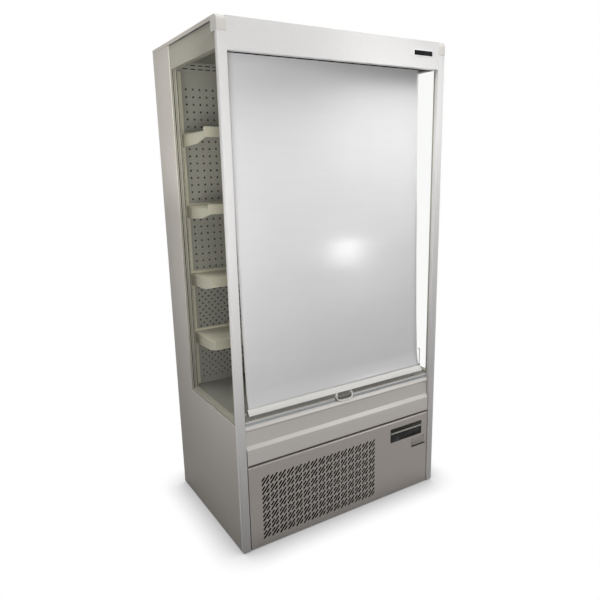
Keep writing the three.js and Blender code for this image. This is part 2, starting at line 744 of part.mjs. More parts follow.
// The cloth hangs almost plumb from the back of the roller and sweeps forward to the bar.
function blindFabric() {
  const half = inner - BLIND_MARGIN;
  const [hemDepth, hemHeight] = barPoint(BAR_FACE, BAR_THICKNESS / 2);
  const back = ROLLER_SETBACK + WOUND_RADIUS + GAP;
  const shape = new THREE.Shape();
  const side = (offset, reverse) => {
    const top = [back + offset, rollerHeight];
    const waist = [hemDepth + BLIND_LEAN + offset, hemHeight + BLIND_SWEEP];
    const hem = [hemDepth + offset, hemHeight + GAP / Math.cos(BAR_TILT)];
    const upper = [back - BLIND_BELLY + offset, (rollerHeight + hemHeight) / 2];
    const lower = [hemDepth + BLIND_LEAN / 2 + offset, hemHeight + BLIND_SWEEP / 3];
    if (reverse) {
      shape.lineTo(...hem);
      shape.quadraticCurveTo(...lower, ...waist);
      shape.quadraticCurveTo(...upper, ...top);
    } else {
      shape.moveTo(...top);
      shape.quadraticCurveTo(...upper, ...waist);
      shape.quadraticCurveTo(...lower, ...hem);
    }
  };
  side(0, false);
  side(BLIND_THICKNESS, true);
  shape.closePath();
  return alongX(shape, -half, half, 6);
}

function buildBlind() {
  const group = new THREE.Group();
  for (const [name, side] of SIDES) {
    group.add(mesh(`blind_bracket_${name}`, blindBracket(side), galvanised));
  }
  group.add(mesh('blind_roller', blindRoller(), blindWeave));
  group.add(mesh('blind_fabric', blindFabric(), blindWeave));
  group.add(mesh('blind_bottom_bar', bottomBar(), barPaint));
  group.add(mesh('blind_handle', blindHandle(), barPaint));
  group.add(mesh('blind_stay_hook', stayHook(), darkWire));
  return group;
}

// ---------------------------------------------------------------- interior

function ductPanelSheet() {
  const foot = deckHeight + GAP;
  const top = ceiling - GAP;
  const shape = outline([[-fitted, foot], [fitted, foot], [fitted, top], [-fitted, top]]);
  const columns = centredRow(2 * standardCentre - STANDARD_WIDTH, DUCT_SLOT_PITCH);
  const rows = [top - DUCT_SLOT_DROP, top - DUCT_SLOT_DROP - DUCT_SLOT_ROW_PITCH];
  const slots = columns.flatMap((x) => rows.map((up) => slotHole(x, up, DUCT_SLOT_LENGTH, DUCT_SLOT_HEIGHT)));
  return punched(shape, slots, ductPanel, ductPanel + SHEET);
}

// Heights of the slots in a standard, counted from the one under the lowest shelf.
function standardHoles() {
  const last = SHELF_STEPS[SHELF_STEPS.length - 1] + 1;
  const first = -3;
  return Array.from({ length: last - first + 1 }, (_, index) =>
    lowestShelf - TAB_DROP + (first + index) * HOLE_PITCH);
}

// A slotted channel, open to the back, that the shelf brackets hook into.
function shelfStandard(side) {
  const left = side * standardCentre - STANDARD_WIDTH / 2;
  const right = side * standardCentre + STANDARD_WIDTH / 2;
  const foot = deckHeight + STANDARD_RISE;
  const top = ceiling - 2 * GAP - DUCT_SLOT_DROP - 2 * DUCT_SLOT_ROW_PITCH;
  const web = outline([[left, foot], [right, foot], [right, top], [left, top]]);
  const holes = standardHoles().map((up) => slotHole(side * standardCentre, up, HOLE_WIDTH, HOLE_HEIGHT));
  const faceBack = standardFace + STANDARD_SHEET;
  const back = standardFace + STANDARD_DEPTH;
  const face = punched(web, holes, standardFace, faceBack);
  const flanges = [
    box(left, left + STANDARD_SHEET, standardFace, back, foot, top),
    box(right - STANDARD_SHEET, right, standardFace, back, foot, top),
  ];
  return join(face, ...flanges);
}

function shelfTray(height) {
  const half = inner - SHELF_SIDE_GAP;
  const back = standardFace - GAP;
  const front = back - SHELF_DEPTH;
  return alongX(outline([
    [front, height - SHELF_LIP_DOWN], [front + SHEET, height - SHELF_LIP_DOWN],
    [front + SHEET, height - SHEET], [back, height - SHEET], [back, height + SHELF_BACK_LIP],
    [back - SHEET, height + SHELF_BACK_LIP], [back - SHEET, height], [front + SHEET, height],
    [front + SHEET, height + SHELF_LIP_UP], [front, height + SHELF_LIP_UP],
  ]), -half, half);
}

// A tapered cantilever bracket with two hooks through the slots of its standard.
function shelfBracket(side, height) {
  const top = height - SHEET - GAP;
  const back = standardFace - GAP;
  const front = back - SHELF_DEPTH + SHEET + GAP;
  const tip = standardFace + STANDARD_SHEET + TAB_REACH;
  const upper = height - TAB_DROP;
  const lower = upper - HOLE_PITCH;
  const half = TAB_HEIGHT / 2;
  const shape = outline([
    [front, top], [front, height - BRACKET_NOSE], [front + BRACKET_TAPER, height - BRACKET_DEPTH],
    [back, height - BRACKET_DEPTH - TAB_HEIGHT], [back, lower - half], [tip, lower - half], [tip, lower + half],
    [back, lower + half], [back, upper - half], [tip, upper - half], [tip, upper + half], [back, upper + half],
    [back, top],
  ]);
  return alongX(shape, ...span(side, standardCentre - BRACKET_SHEET / 2, standardCentre + BRACKET_SHEET / 2));
}

// A pan over the evaporator: a flat deck on two side legs that stand on the well's floor.
function deckPan() {
  const half = fitted - GAP;
  const front = grilleBack + GAP;
  const back = ductPanel - GAP;
  const foot = wellFloor + GAP;
  const under = deckHeight - SHEET;
  const shape = outline([
    [-half, foot], [-half + SHEET, foot], [-half + SHEET, under], [half - SHEET, under],
    [half - SHEET, foot], [half, foot], [half, deckHeight], [-half, deckHeight],
  ]);
  return alongY(shape, front, back);
}

// The return air grille stands on the well's front wall, with a notch for the hand at the handle.
function returnGrille() {
  const foot = deckHeight - GRILLE_LIP_DROP;
  const under = deckHeight - SHEET;
  const shoulder = deckHeight - SHEET / 2;
  const top = grilleFront + GRILLE_SLOPE;
  const sheet = alongX(outline([
    [grilleFront, foot], [grilleFront + SHEET, foot], [grilleFront + SHEET, shoulder - SHEET], [top, under],
    [grilleBack - SHEET, under], [grilleBack - SHEET, deckHeight - GRILLE_BACK_LIP],
    [grilleBack, deckHeight - GRILLE_BACK_LIP], [grilleBack, deckHeight], [top, deckHeight],
    [grilleFront, shoulder],
  ]), -fitted, fitted);
  const notch = box(-HAND_NOTCH / 2, HAND_NOTCH / 2, grilleFront - 1, top + GAP, foot - 1, deckHeight + 1);
  const slotFront = top + SHEET;
  const slots = centredRow(2 * fitted - RETURN_SLOT_PITCH, RETURN_SLOT_PITCH).map((x) =>
    box(x - RETURN_SLOT_WIDTH / 2, x + RETURN_SLOT_WIDTH / 2, slotFront, slotFront + RETURN_SLOT_DEPTH,
      under - 1, deckHeight + 1));
  return cut(sheet, notch, ...slots);
}

function buildInterior() {
  const group = new THREE.Group();
  group.add(mesh('back_duct_panel', ductPanelSheet(), linerPaint));
  group.add(mesh('deck_pan', deckPan(), linerPaint));
  group.add(mesh('return_air_grille', returnGrille(), linerPaint));
  for (const [name, side] of SIDES) {
    group.add(mesh(`shelf_standard_${name}`, shelfStandard(side), creamPaint));
  }
  SHELF_STEPS.forEach((step, index) => {
    const number = index + 1;
    const height = lowestShelf + step * HOLE_PITCH;
    group.add(mesh(`shelf_${number}_tray`, shelfTray(height), creamPaint));
    for (const [name, side] of SIDES) {
      group.add(mesh(`shelf_${number}_bracket_${name}`, shelfBracket(side, height), creamPaint));
    }
  });
  return group;
}

// ---------------------------------------------------------------- front

// The riser's formed face: a recessed middle between a stepped foot and a rounded nose.
function frontRiser() {
  const { foot, recess, nose } = riserFace;
  const noseFoot = riserTop - RISER_NOSE_HEIGHT;
  const footTop = riserFoot + RISER_FOOT_HEIGHT;
  const shape = new THREE.Shape();
  shape.moveTo(riserBack, riserFoot);
  shape.lineTo(riserBack, riserTop);
  shape.lineTo(nose + RISER_NOSE_RADIUS, riserTop);
  shape.absarc(nose + RISER_NOSE_RADIUS, riserTop - RISER_NOSE_RADIUS, RISER_NOSE_RADIUS, Math.PI / 2, Math.PI,
    false);
  shape.lineTo(nose, noseFoot + RISER_STEP / 2);
  shape.lineTo(recess, noseFoot);
  shape.lineTo(recess, footTop + RISER_CHAMFER);
  shape.lineTo(foot, footTop);
  shape.lineTo(foot, riserFoot);
  shape.closePath();
  return alongX(shape, -frontHalf, frontHalf, 8);
}

// One cell of the grille: a long slanting slot with a short one in each spare corner.
function cellSlots(across, up) {
  const shiftAcross = SHORT_SLOT_SHIFT * Math.cos(Math.PI - SLOT_ANGLE);
  const shiftUp = SHORT_SLOT_SHIFT * Math.sin(Math.PI - SLOT_ANGLE);
  return [
    slotHole(across, up, LONG_SLOT, SLOT_WIDTH, SLOT_ANGLE),
    slotHole(across + shiftAcross, up + shiftUp, SHORT_SLOT, SLOT_WIDTH, SLOT_ANGLE),
    slotHole(across - shiftAcross, up - shiftUp, SHORT_SLOT, SLOT_WIDTH, SLOT_ANGLE),
  ];
}

function controlCutout() {
  const left = controlRight - CONTROL_WIDTH + CONTROL_BEZEL_LIP;
  const right = controlRight - CONTROL_BEZEL_LIP;
  const foot = controlFoot + CONTROL_BEZEL_LIP;
  const top = controlTop - CONTROL_BEZEL_LIP;
  return { left, right, foot, top };
}

function servicePanel() {
  const shape = outline([[-frontHalf, PANEL_CLEARANCE], [frontHalf, PANEL_CLEARANCE],
    [frontHalf, serviceTop], [-frontHalf, serviceTop]]);
  const hole = controlCutout();
  const holes = [outline([[hole.left, hole.foot], [hole.right, hole.foot], [hole.right, hole.top],
    [hole.left, hole.top]])];
  const grilleLeft = -frontHalf + GRILLE_LEFT_MARGIN;
  const grilleWidth = controlRight - CONTROL_WIDTH - GRILLE_RIGHT_MARGIN - grilleLeft;
  const grilleHeight = SERVICE_HEIGHT - GRILLE_BOTTOM_MARGIN - GRILLE_TOP_MARGIN;
  const columns = Math.floor(grilleWidth / CELL_WIDTH);
  const rows = Math.floor(grilleHeight / CELL_HEIGHT);
  for (let column = 0; column < columns; column += 1) {
    for (let row = 0; row < rows; row += 1) {
      const across = grilleLeft + (column + 0.5) * CELL_WIDTH;
      const up = PANEL_CLEARANCE + GRILLE_BOTTOM_MARGIN + (row + 0.5) * CELL_HEIGHT;
      holes.push(...cellSlots(across, up));
    }
  }
  const back = FRONT_INSET + SERVICE_FLANGE;
  const face = punched(shape, holes, FRONT_INSET, FRONT_INSET + SHEET);
  return join(face,
    box(-frontHalf, frontHalf, FRONT_INSET, back, PANEL_CLEARANCE, PANEL_CLEARANCE + SHEET),
    box(-frontHalf, frontHalf, FRONT_INSET, back, serviceTop - SHEET, serviceTop),
    box(-frontHalf, -frontHalf + SHEET, FRONT_INSET, back, PANEL_CLEARANCE, serviceTop),
    box(frontHalf - SHEET, frontHalf, FRONT_INSET, back, PANEL_CLEARANCE, serviceTop));
}

function keyPlaces() {
  return [0, 1, 2].map((index) => ({
    x: controlRight - KEY_MARGIN - index * KEY_PITCH,
    z: controlFoot + KEY_HEIGHT,
  }));
}

function controlUnit() {
  const hole = controlCutout();
  const face = FRONT_INSET - GAP - CONTROL_BEZEL;
  const bezel = box(controlRight - CONTROL_WIDTH, controlRight, face, face + CONTROL_BEZEL, controlFoot, controlTop);
  const body = box(hole.left + GAP, hole.right - GAP, face, face + CONTROL_BODY_DEPTH, hole.foot + GAP,
    hole.top - GAP);
  const wells = keyPlaces().map(({ x, z }) =>
    barY(x, face - 1, face - KEY_PROUD + KEY_LENGTH + KEY_TRAVEL + GAP, z, KEY_RADIUS + GAP, 16));
  return cut(join(bezel, body), ...wells);
}

function controlKey({ x, z }) {
  const face = FRONT_INSET - GAP - CONTROL_BEZEL - KEY_PROUD;
  return barY(x, face, face + KEY_LENGTH, z, KEY_RADIUS, 16);
}

function buildFront() {
  const group = new THREE.Group();
  group.add(mesh('front_riser', frontRiser(), satinSteel));
  group.add(mesh('service_panel', servicePanel(), satinSteel));
  group.add(mesh('control_unit', controlUnit(), blackPlastic));
  keyPlaces().forEach((place, index) => {
    group.add(mesh(`control_key_${index + 1}`, controlKey(place), keyRubber));
  });
  return group;
}

// ---------------------------------------------------------------- refrigeration

// A finned coil with a shroud behind it, and arms that carry the fan motor in the shroud's hole.
function coilWithFan({ centre, width, front, depth, foot, height, fanRadius }) {
  const left = centre - width / 2;
  const right = centre + width / 2;
  const shroudFront = front + depth - SHROUD;
  const shroudBack = front + depth;
  const fins = Math.floor(width / FIN_PITCH);
  const pitch = (width - FIN_THICKNESS) / (fins - 1);
  const comb = [[left, shroudBack], [left, front]];
  for (let fin = 0; fin < fins; fin += 1) {
    const edge = left + fin * pitch;
    comb.push([edge + FIN_THICKNESS, front], [edge + FIN_THICKNESS, shroudFront]);
    if (fin < fins - 1) {
      comb.push([edge + pitch, shroudFront], [edge + pitch, front]);
    }
  }
  comb[comb.length - 1] = [right, shroudBack];
  const block = alongZ(outline(comb), foot, foot + height);
  const middle = foot + height / 2;
  const mouth = barY(centre, shroudFront - 1, shroudBack + 1, middle, fanRadius + FAN_CLEARANCE, 24);
  const fanBack = shroudBack + FAN_CLEARANCE + FAN_HUB_DEPTH;
  const motorFront = fanBack + FAN_CLEARANCE;
  const reach = fanRadius + 2 * FAN_CLEARANCE;
  const arms = SIDES.map(([, side]) => box(...span(side, reach, reach + ARM_SHEET).map((x) => centre + x),
    shroudFront, motorFront + ARM_SHEET, middle - ARM_HEIGHT / 2, middle + ARM_HEIGHT / 2));
  const cross = box(centre - reach, centre + reach, motorFront, motorFront + ARM_SHEET,
    middle - ARM_HEIGHT / 2, middle + ARM_HEIGHT / 2);
  const motor = barY(centre, motorFront, motorFront + MOTOR_DEPTH, middle, MOTOR_RATIO * fanRadius);
  const shaft = barY(centre, shroudBack + 2 * FAN_CLEARANCE, motorFront + 1, middle, SHAFT_RADIUS, 12);
  return join(cut(block, mouth), ...arms, cross, motor, shaft);
}

function fan({ centre, front, depth, foot, height, fanRadius }) {
  const hubFront = front + depth + FAN_CLEARANCE;
  const hubBack = hubFront + FAN_HUB_DEPTH;
  const hubRadius = FAN_HUB_RATIO * fanRadius;
  const middle = foot + height / 2;
  const hub = barY(centre, hubFront, hubBack, middle, hubRadius);
  const chord = 0.7 * fanRadius;
  const blades = Array.from({ length: FAN_BLADES }, (_, index) => {
    const length = fanRadius - hubRadius / 2;
    const blade = new THREE.BoxGeometry(length, BLADE_SHEET, Math.min(chord, FAN_HUB_DEPTH / Math.sin(FAN_BLADE_PITCH)));
    blade.rotateX(FAN_BLADE_PITCH);
    blade.translate(hubRadius / 2 + length / 2, 0, 0);
    blade.rotateY((index * 2 * Math.PI) / FAN_BLADES);
    blade.translate(centre, y((hubFront + hubBack) / 2), middle);
    return blade;
  });
  const bore = barY(centre, front + depth + 2 * FAN_CLEARANCE - GAP, hubBack + 1, middle, SHAFT_RADIUS + GAP, 12);
  return cut(join(hub, ...blades), bore);
}

function compressor() {
  const depth = backInner - COMPRESSOR_BACK_GAP - COMPRESSOR_RADIUS;
  const foot = basePlate + GAP;
  const shoulder = COMPRESSOR_HEIGHT * 0.7;
  const points = [[0, 0], [COMPRESSOR_RADIUS - 8, 0], [COMPRESSOR_RADIUS, 12], [COMPRESSOR_RADIUS, shoulder],
    [COMPRESSOR_RADIUS * 0.86, COMPRESSOR_HEIGHT * 0.88], [COMPRESSOR_RADIUS * 0.5, COMPRESSOR_HEIGHT * 0.98],
    [0, COMPRESSOR_HEIGHT]];
  const pot = new THREE.LatheGeometry(points.map(([r, h]) => new THREE.Vector2(r, h)), 24).rotateX(Math.PI / 2);
  pot.translate(condenserPlace.centre, y(depth), foot);
  const half = COMPRESSOR_RADIUS + 15;
  const plate = box(condenserPlace.centre - half, condenserPlace.centre + half, depth - half / 2, depth + half / 2,
    foot, foot + COMPRESSOR_PLATE);
  return join(pot, plate);
}

function dripTray() {
  const back = backInner - TRAY_BACK_GAP;
  const right = fitted - TRAY_SIDE_GAP;
  const foot = basePlate + GAP;
  const shell = box(right - TRAY_WIDTH, right, back - TRAY_DEPTH, back, foot, foot + TRAY_HEIGHT);
  const hollow = box(right - TRAY_WIDTH + TRAY_WALL, right - TRAY_WALL, back - TRAY_DEPTH + TRAY_WALL,
    back - TRAY_WALL, foot + TRAY_WALL, foot + TRAY_HEIGHT + 1);
  return cut(shell, hollow);
}

const condenserPlace = {
  centre: -frontHalf + GRILLE_LEFT_MARGIN + CONDENSER_WIDTH / 2,
  width: CONDENSER_WIDTH,
  front: CONDENSER_FRONT,
  depth: CONDENSER_DEPTH,
  foot: basePlate + GAP,
  height: CONDENSER_HEIGHT,
  fanRadius: CONDENSER_FAN_RADIUS,
};

const evaporatorPlace = {
  centre: 0,
  width: EVAPORATOR_WIDTH,
  front: EVAPORATOR_FRONT,
  depth: EVAPORATOR_DEPTH,
  foot: wellFloor + GAP,
  height: EVAPORATOR_HEIGHT,
  fanRadius: EVAPORATOR_FAN_RADIUS,
};

function buildRefrigeration() {
  const group = new THREE.Group();
  group.add(mesh('condenser', coilWithFan(condenserPlace), finAluminium));
  group.add(mesh('condenser_fan', fan(condenserPlace), blackPlastic));
  group.add(mesh('compressor', compressor(), blackEnamel));
  group.add(mesh('drip_tray', dripTray(), blackPlastic));
  group.add(mesh('evaporator', coilWithFan(evaporatorPlace), finAluminium));
  group.add(mesh('evaporator_fan', fan(evaporatorPlace), blackPlastic));
  return group;
}

// ---------------------------------------------------------------- the whole fridge

const fridge = new THREE.Group();
fridge.add(buildBase());
fridge.add(buildShell());
fridge.add(buildEnds());
fridge.add(buildCanopy());
fridge.add(buildBlind());
fridge.add(buildInterior());
fridge.add(buildFront());
fridge.add(buildRefrigeration());

export default fridge;
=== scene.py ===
"""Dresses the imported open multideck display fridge: finishes, eased sheet metal, cloth blind and fittings.

Sizes are in millimetres and are turned into metres by at(). Depth is counted backwards from the front
plane of the uprights, as in the part's source.
"""

from __future__ import annotations

import json
import logging
import math
from collections.abc import Sequence
from dataclasses import dataclass
from enum import Enum

import bmesh
import bpy
from mathutils import Matrix, Vector

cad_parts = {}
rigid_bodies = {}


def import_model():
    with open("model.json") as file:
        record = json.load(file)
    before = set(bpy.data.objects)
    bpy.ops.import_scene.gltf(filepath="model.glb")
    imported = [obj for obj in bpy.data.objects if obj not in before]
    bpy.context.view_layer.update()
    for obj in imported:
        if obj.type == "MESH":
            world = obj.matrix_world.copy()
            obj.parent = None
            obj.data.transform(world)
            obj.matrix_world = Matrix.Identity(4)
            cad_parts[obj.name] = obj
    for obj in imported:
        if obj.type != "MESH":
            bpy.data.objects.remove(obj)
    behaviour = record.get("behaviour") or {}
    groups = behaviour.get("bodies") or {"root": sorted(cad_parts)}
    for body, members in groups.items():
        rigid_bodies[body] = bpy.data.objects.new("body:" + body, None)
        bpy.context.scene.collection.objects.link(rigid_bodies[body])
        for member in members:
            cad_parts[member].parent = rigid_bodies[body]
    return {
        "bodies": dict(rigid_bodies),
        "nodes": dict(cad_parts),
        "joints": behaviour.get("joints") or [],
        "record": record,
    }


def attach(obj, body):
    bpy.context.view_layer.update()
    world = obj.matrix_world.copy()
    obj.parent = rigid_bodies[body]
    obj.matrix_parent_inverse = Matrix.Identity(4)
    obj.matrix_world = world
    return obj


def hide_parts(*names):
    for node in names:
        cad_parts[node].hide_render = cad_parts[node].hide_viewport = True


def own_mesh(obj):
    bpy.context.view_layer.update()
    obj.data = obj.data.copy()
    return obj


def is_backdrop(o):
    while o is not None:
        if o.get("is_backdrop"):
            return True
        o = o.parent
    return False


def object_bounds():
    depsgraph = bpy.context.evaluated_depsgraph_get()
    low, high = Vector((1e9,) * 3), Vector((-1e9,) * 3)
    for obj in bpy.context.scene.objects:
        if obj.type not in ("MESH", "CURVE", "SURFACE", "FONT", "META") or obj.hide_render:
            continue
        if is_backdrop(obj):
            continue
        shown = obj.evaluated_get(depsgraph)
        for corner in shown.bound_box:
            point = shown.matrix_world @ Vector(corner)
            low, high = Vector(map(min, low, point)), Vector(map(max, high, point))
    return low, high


LOG = logging.getLogger("display_fridge")
MM = 0.001
CABINET_DEPTH = 645.0
FITTED = 466.7
ACROSS = Vector((1, 0, 0))
BACKWARDS = Vector((0, 1, 0))
UP = Vector((0, 0, 1))
PANE_FOOT = 536.5
REVEAL = (549.0, 1849.0)
Span = tuple[float, float]
Colour = tuple[float, float, float]


class Side(Enum):
    """The two ends of the cabinet, seen from the front."""

    LEFT = -1
    RIGHT = 1

    @property
    def word(self) -> str:
        """The side's name as the parts have it."""
        return self.name.lower()

    def span(self, near: float, far: float) -> Span:
        """A span across on this side, low value first, from distances to the middle."""
        low, high = sorted((self.value * near, self.value * far))
        return low, high


class Pattern(Enum):
    """The surface patterns that the finishes choose from."""

    PEEL = "powder_peel"
    GRAIN = "level_grain"
    MOULDED = "moulded_skin"
    SPANGLE = "zinc_spangle"
    WEAVE = "cloth_weave"


def at(across: float, depth: float, height: float) -> Vector:
    """Turns millimetres across, behind the front plane and above the floor into a point in metres."""
    return Vector((across, depth - CABINET_DEPTH / 2, height)) * MM


def srgb(red: int, green: int, blue: int) -> Colour:
    """Turns a colour written as 0 to 255 into the linear values that a shader takes."""

    def linear(level: int) -> float:
        """One channel."""
        share = level / 255
        return share / 12.92 if share <= 0.04045 else ((share + 0.055) / 1.055) ** 2.4

    return linear(red), linear(green), linear(blue)


# ---------------------------------------------------------------- finishes


@dataclass(frozen=True)
class Finish:
    """One finish of the cabinet.

    Args:
        name: the material's name.
        slot: the record's material slot that it belongs to; not used.
        color: linear base colour.
        roughness: how matt it is.
        metallic: 1 for bare metal.
        pattern: its surface pattern.
        fineness: features of the pattern to a metre.
        height: height of the pattern in metres.
        spread: how far colour and roughness wander.
        coat: weight of the clear layer.
        coat_roughness: how matt the clear layer is.
        sheen: weight of the soft sheen.
        specular: how strongly a bare non-metal mirrors, with 0.5 for most.
    """

    name: str
    slot: str
    color: Colour
    roughness: float
    metallic: float = 0.0
    pattern: Pattern = Pattern.PEEL
    fineness: float = 700.0
    height: float = 0.00003
    spread: float = 0.05
    coat: float = 0.0
    coat_roughness: float = 0.1
    sheen: float = 0.0
    specular: float = 0.5


@dataclass(frozen=True)
class ClearFinish:
    """A see-through finish.

    Args:
        name: the material's name.
        slot: the record's material slot that it belongs to; not used.
        tint: linear colour of what passes.
        opacity: below 1 for thin plastic shown by alpha; 0 for glass that refracts.
        roughness: how clouded its surface is.
    """

    name: str
    slot: str
    tint: Colour
    opacity: float = 0.0
    roughness: float = 0.03


WHITE_PAINT = Finish("white_paint", "painted_white", srgb(228, 227, 226), 0.3, coat=0.25)
GREY_PAINT = Finish("grey_paint", "painted_grey", srgb(209, 203, 194), 0.4, specular=0.18)
SATIN_STEEL = Finish("satin_steel", "satin_stainless", srgb(198, 194, 190), 0.36, 0.38, Pattern.GRAIN,
                     900.0, 0.000008, 0.08)
# The riser's satin stainless made darker and less shiny, which paints the shade lower down the front.
SHADED_PANEL_STEEL = Finish("panel_steel", "satin_stainless", srgb(172, 166, 161), 0.34, 0.36, Pattern.GRAIN,
                     900.0, 0.000008, 0.08, specular=0.35)
CAP_PLASTIC = Finish("cap_plastic", "cap_plastic", srgb(222, 219, 213), 0.45, 0.0, Pattern.MOULDED, 1800.0)
OLIVE_TRIM = Finish("olive_trim", "glazing_trim", srgb(170, 166, 152), 0.5)
CREAM_TRIM = Finish("cream_trim", "glazing_trim", srgb(206, 201, 189), 0.5)
BRONZE_TRIM = Finish("bronze_trim", "glazing_trim", srgb(132, 127, 112), 0.4, specular=0.4)
EDGE_SEAL = Finish("edge_seal", "glazing_trim", srgb(34, 34, 32), 0.5, 0.0, Pattern.MOULDED, 2400.0, specular=0.3)
# Mid grey, darker than the liner's own pale grey, which paints the shade inside the cabinet.
SHADED_LINER_PAINT = Finish("liner_paint", "liner_paint", srgb(146, 143, 134), 0.5, specular=0.4)
GRILLE_PAINT = Finish("grille_paint", "liner_paint", srgb(212, 209, 203), 0.4)
# Near-black for pieces that paint shade: the dark line under the header, the duct behind the perforated back and
# the space behind the service panel's slots.
PAINTED_SHADE_BLACK = Finish("duct_felt", "liner_paint", srgb(8, 8, 8), 0.95, 0.0, Pattern.PEEL, 1400.0, 0.0003, 0.2,
                   specular=0.05)
SHELF_PAINT = Finish("shelf_paint", "shelf_paint", srgb(200, 194, 175), 0.42, coat=0.1)
BLIND_CLOTH = Finish("blind_cloth", "blind_cloth", srgb(228, 227, 228), 0.5, 0.05, Pattern.WEAVE, 900.0,
                     0.00005, 0.09, 0.5, 0.18, 0.05)
BLIND_WHITE = Finish("blind_white", "blind_white", srgb(244, 243, 239), 0.32, coat=0.2)
HOOK_WIRE = Finish("hook_wire", "hook_wire", srgb(96, 93, 89), 0.35, 0.8, Pattern.GRAIN)
LAMP_DIFFUSER = Finish("lamp_diffuser", "lamp_diffuser", srgb(242, 242, 234), 0.3, 0.0, Pattern.MOULDED)
CONTROL_BLACK = Finish("control_black", "control_black", srgb(14, 13, 16), 0.35, 0.0, Pattern.MOULDED, 2400.0,
                       specular=0.15)
# Dark olive that paints the reflection of a greenish room in the controller's upper window.
CONTROL_REFLECTION_OLIVE = Finish("control_olive", "control_black", srgb(44, 45, 20), 0.2, 0.0, Pattern.MOULDED, 300.0,
                       0.000002, 0.1, specular=0.15)
CONTROL_GLOSS = Finish("control_gloss", "control_black", srgb(34, 32, 36), 0.12, 0.0, Pattern.MOULDED, 300.0,
                       0.000002, 0.1, specular=0.2)
# Pale grey that paints the highlight on the edge between the controller's two windows.
CONTROL_HIGHLIGHT = Finish("control_pale", "control_black", srgb(176, 172, 166), 0.4, 0.3)
PLATE_PALE = Finish("plate_pale", "satin_stainless", srgb(196, 190, 186), 0.55, 0.0, Pattern.MOULDED, 900.0)
KEY_RUBBER = Finish("key_rubber", "key_rubber", srgb(50, 50, 56), 0.7, 0.0, Pattern.MOULDED, 3000.0, specular=0.3)
GALVANISED = Finish("galvanised", "galvanised_steel", srgb(150, 152, 154), 0.42, 0.75, Pattern.SPANGLE, 90.0,
                    0.000008, 0.16)
COIL_ALUMINIUM = Finish("coil_aluminium", "coil_aluminium", srgb(176, 178, 180), 0.34, 0.9, Pattern.GRAIN)
# Black paint, as condensers often have, also chosen to paint the shade behind the service panel's slots.
COIL_BLACK = Finish("coil_black", "coil_aluminium", srgb(30, 30, 32), 0.5, 0.1, specular=0.3)
PIPE_COPPER = Finish("pipe_copper", "coil_aluminium", srgb(190, 116, 84), 0.3, 0.95, Pattern.GRAIN)
FAN_PLASTIC = Finish("fan_plastic", "fan_plastic", srgb(30, 30, 32), 0.45, 0.0, Pattern.MOULDED, 2000.0,
                     specular=0.3)
COMPRESSOR_ENAMEL = Finish("compressor_enamel", "compressor_enamel", srgb(28, 28, 30), 0.35, 0.1, coat=0.3)
FOOT_RUBBER = Finish("foot_rubber", "foot_rubber", srgb(58, 58, 58), 0.75, 0.0, Pattern.MOULDED, 2200.0,
                     specular=0.3)
CLEAR_GLASS = ClearFinish("clear_glass", "pane_glass", (0.975, 0.98, 0.972), roughness=0.002)
CLEAR_STRIP = ClearFinish("clear_strip", "pane_glass", srgb(216, 222, 226), 0.55, 0.12)


class NodeDesk:
    """A short hand for placing and wiring the nodes of one tree."""

    def __init__(self, tree: bpy.types.NodeTree) -> None:
        """Starts on an empty tree.

        Args:
            tree: the node tree to fill.
        """
        self.tree = tree
        tree.nodes.clear()

    def add(self, kind: str, **settings: object) -> bpy.types.Node:
        """Places one node.

        Args:
            kind: the node's type name.
            **settings: properties to set on it.

        Returns:
            The new node.
        """
        node = self.tree.nodes.new(kind)
        for key, value in settings.items():
            setattr(node, key, value)
        return node

    def feed(self, socket: bpy.types.NodeSocket, source: object) -> None:
        """Links a socket or sets its plain value."""
        if isinstance(source, bpy.types.NodeSocket):
            self.tree.links.new(source, socket)
        else:
            socket.default_value = source

    def sum(self, operation: str, first: object, second: object = 0.0, third: object = 0.0) -> bpy.types.NodeSocket:
        """One Math node.

        Args:
            operation: its operation.
            first: first value or socket.
            second: second value or socket.
            third: third value or socket, where the operation has one.

        Returns:
            The node's output.
        """
        node = self.add("ShaderNodeMath", operation=operation)
        for index, source in enumerate((first, second, third)):
            self.feed(node.inputs[index], source)
        return node.outputs[0]

    def noise(self, vector: object, scale: object, detail: float = 2.0,
              roughness: float = 0.5) -> bpy.types.NodeSocket:
        """A noise texture's value over the given coordinates."""
        node = self.add("ShaderNodeTexNoise")
        self.feed(node.inputs["Vector"], vector)
        self.feed(node.inputs["Scale"], scale)
        node.inputs["Detail"].default_value = detail
        node.inputs["Roughness"].default_value = roughness
        return node.outputs[0]

    def stretched(self, vector: object, factors: Sequence[float]) -> bpy.types.NodeSocket:
        """Coordinates multiplied by three plain factors."""
        node = self.add("ShaderNodeVectorMath", operation="MULTIPLY")
        self.feed(node.inputs[0], vector)
        node.inputs[1].default_value = tuple(factors)
        return node.outputs[0]


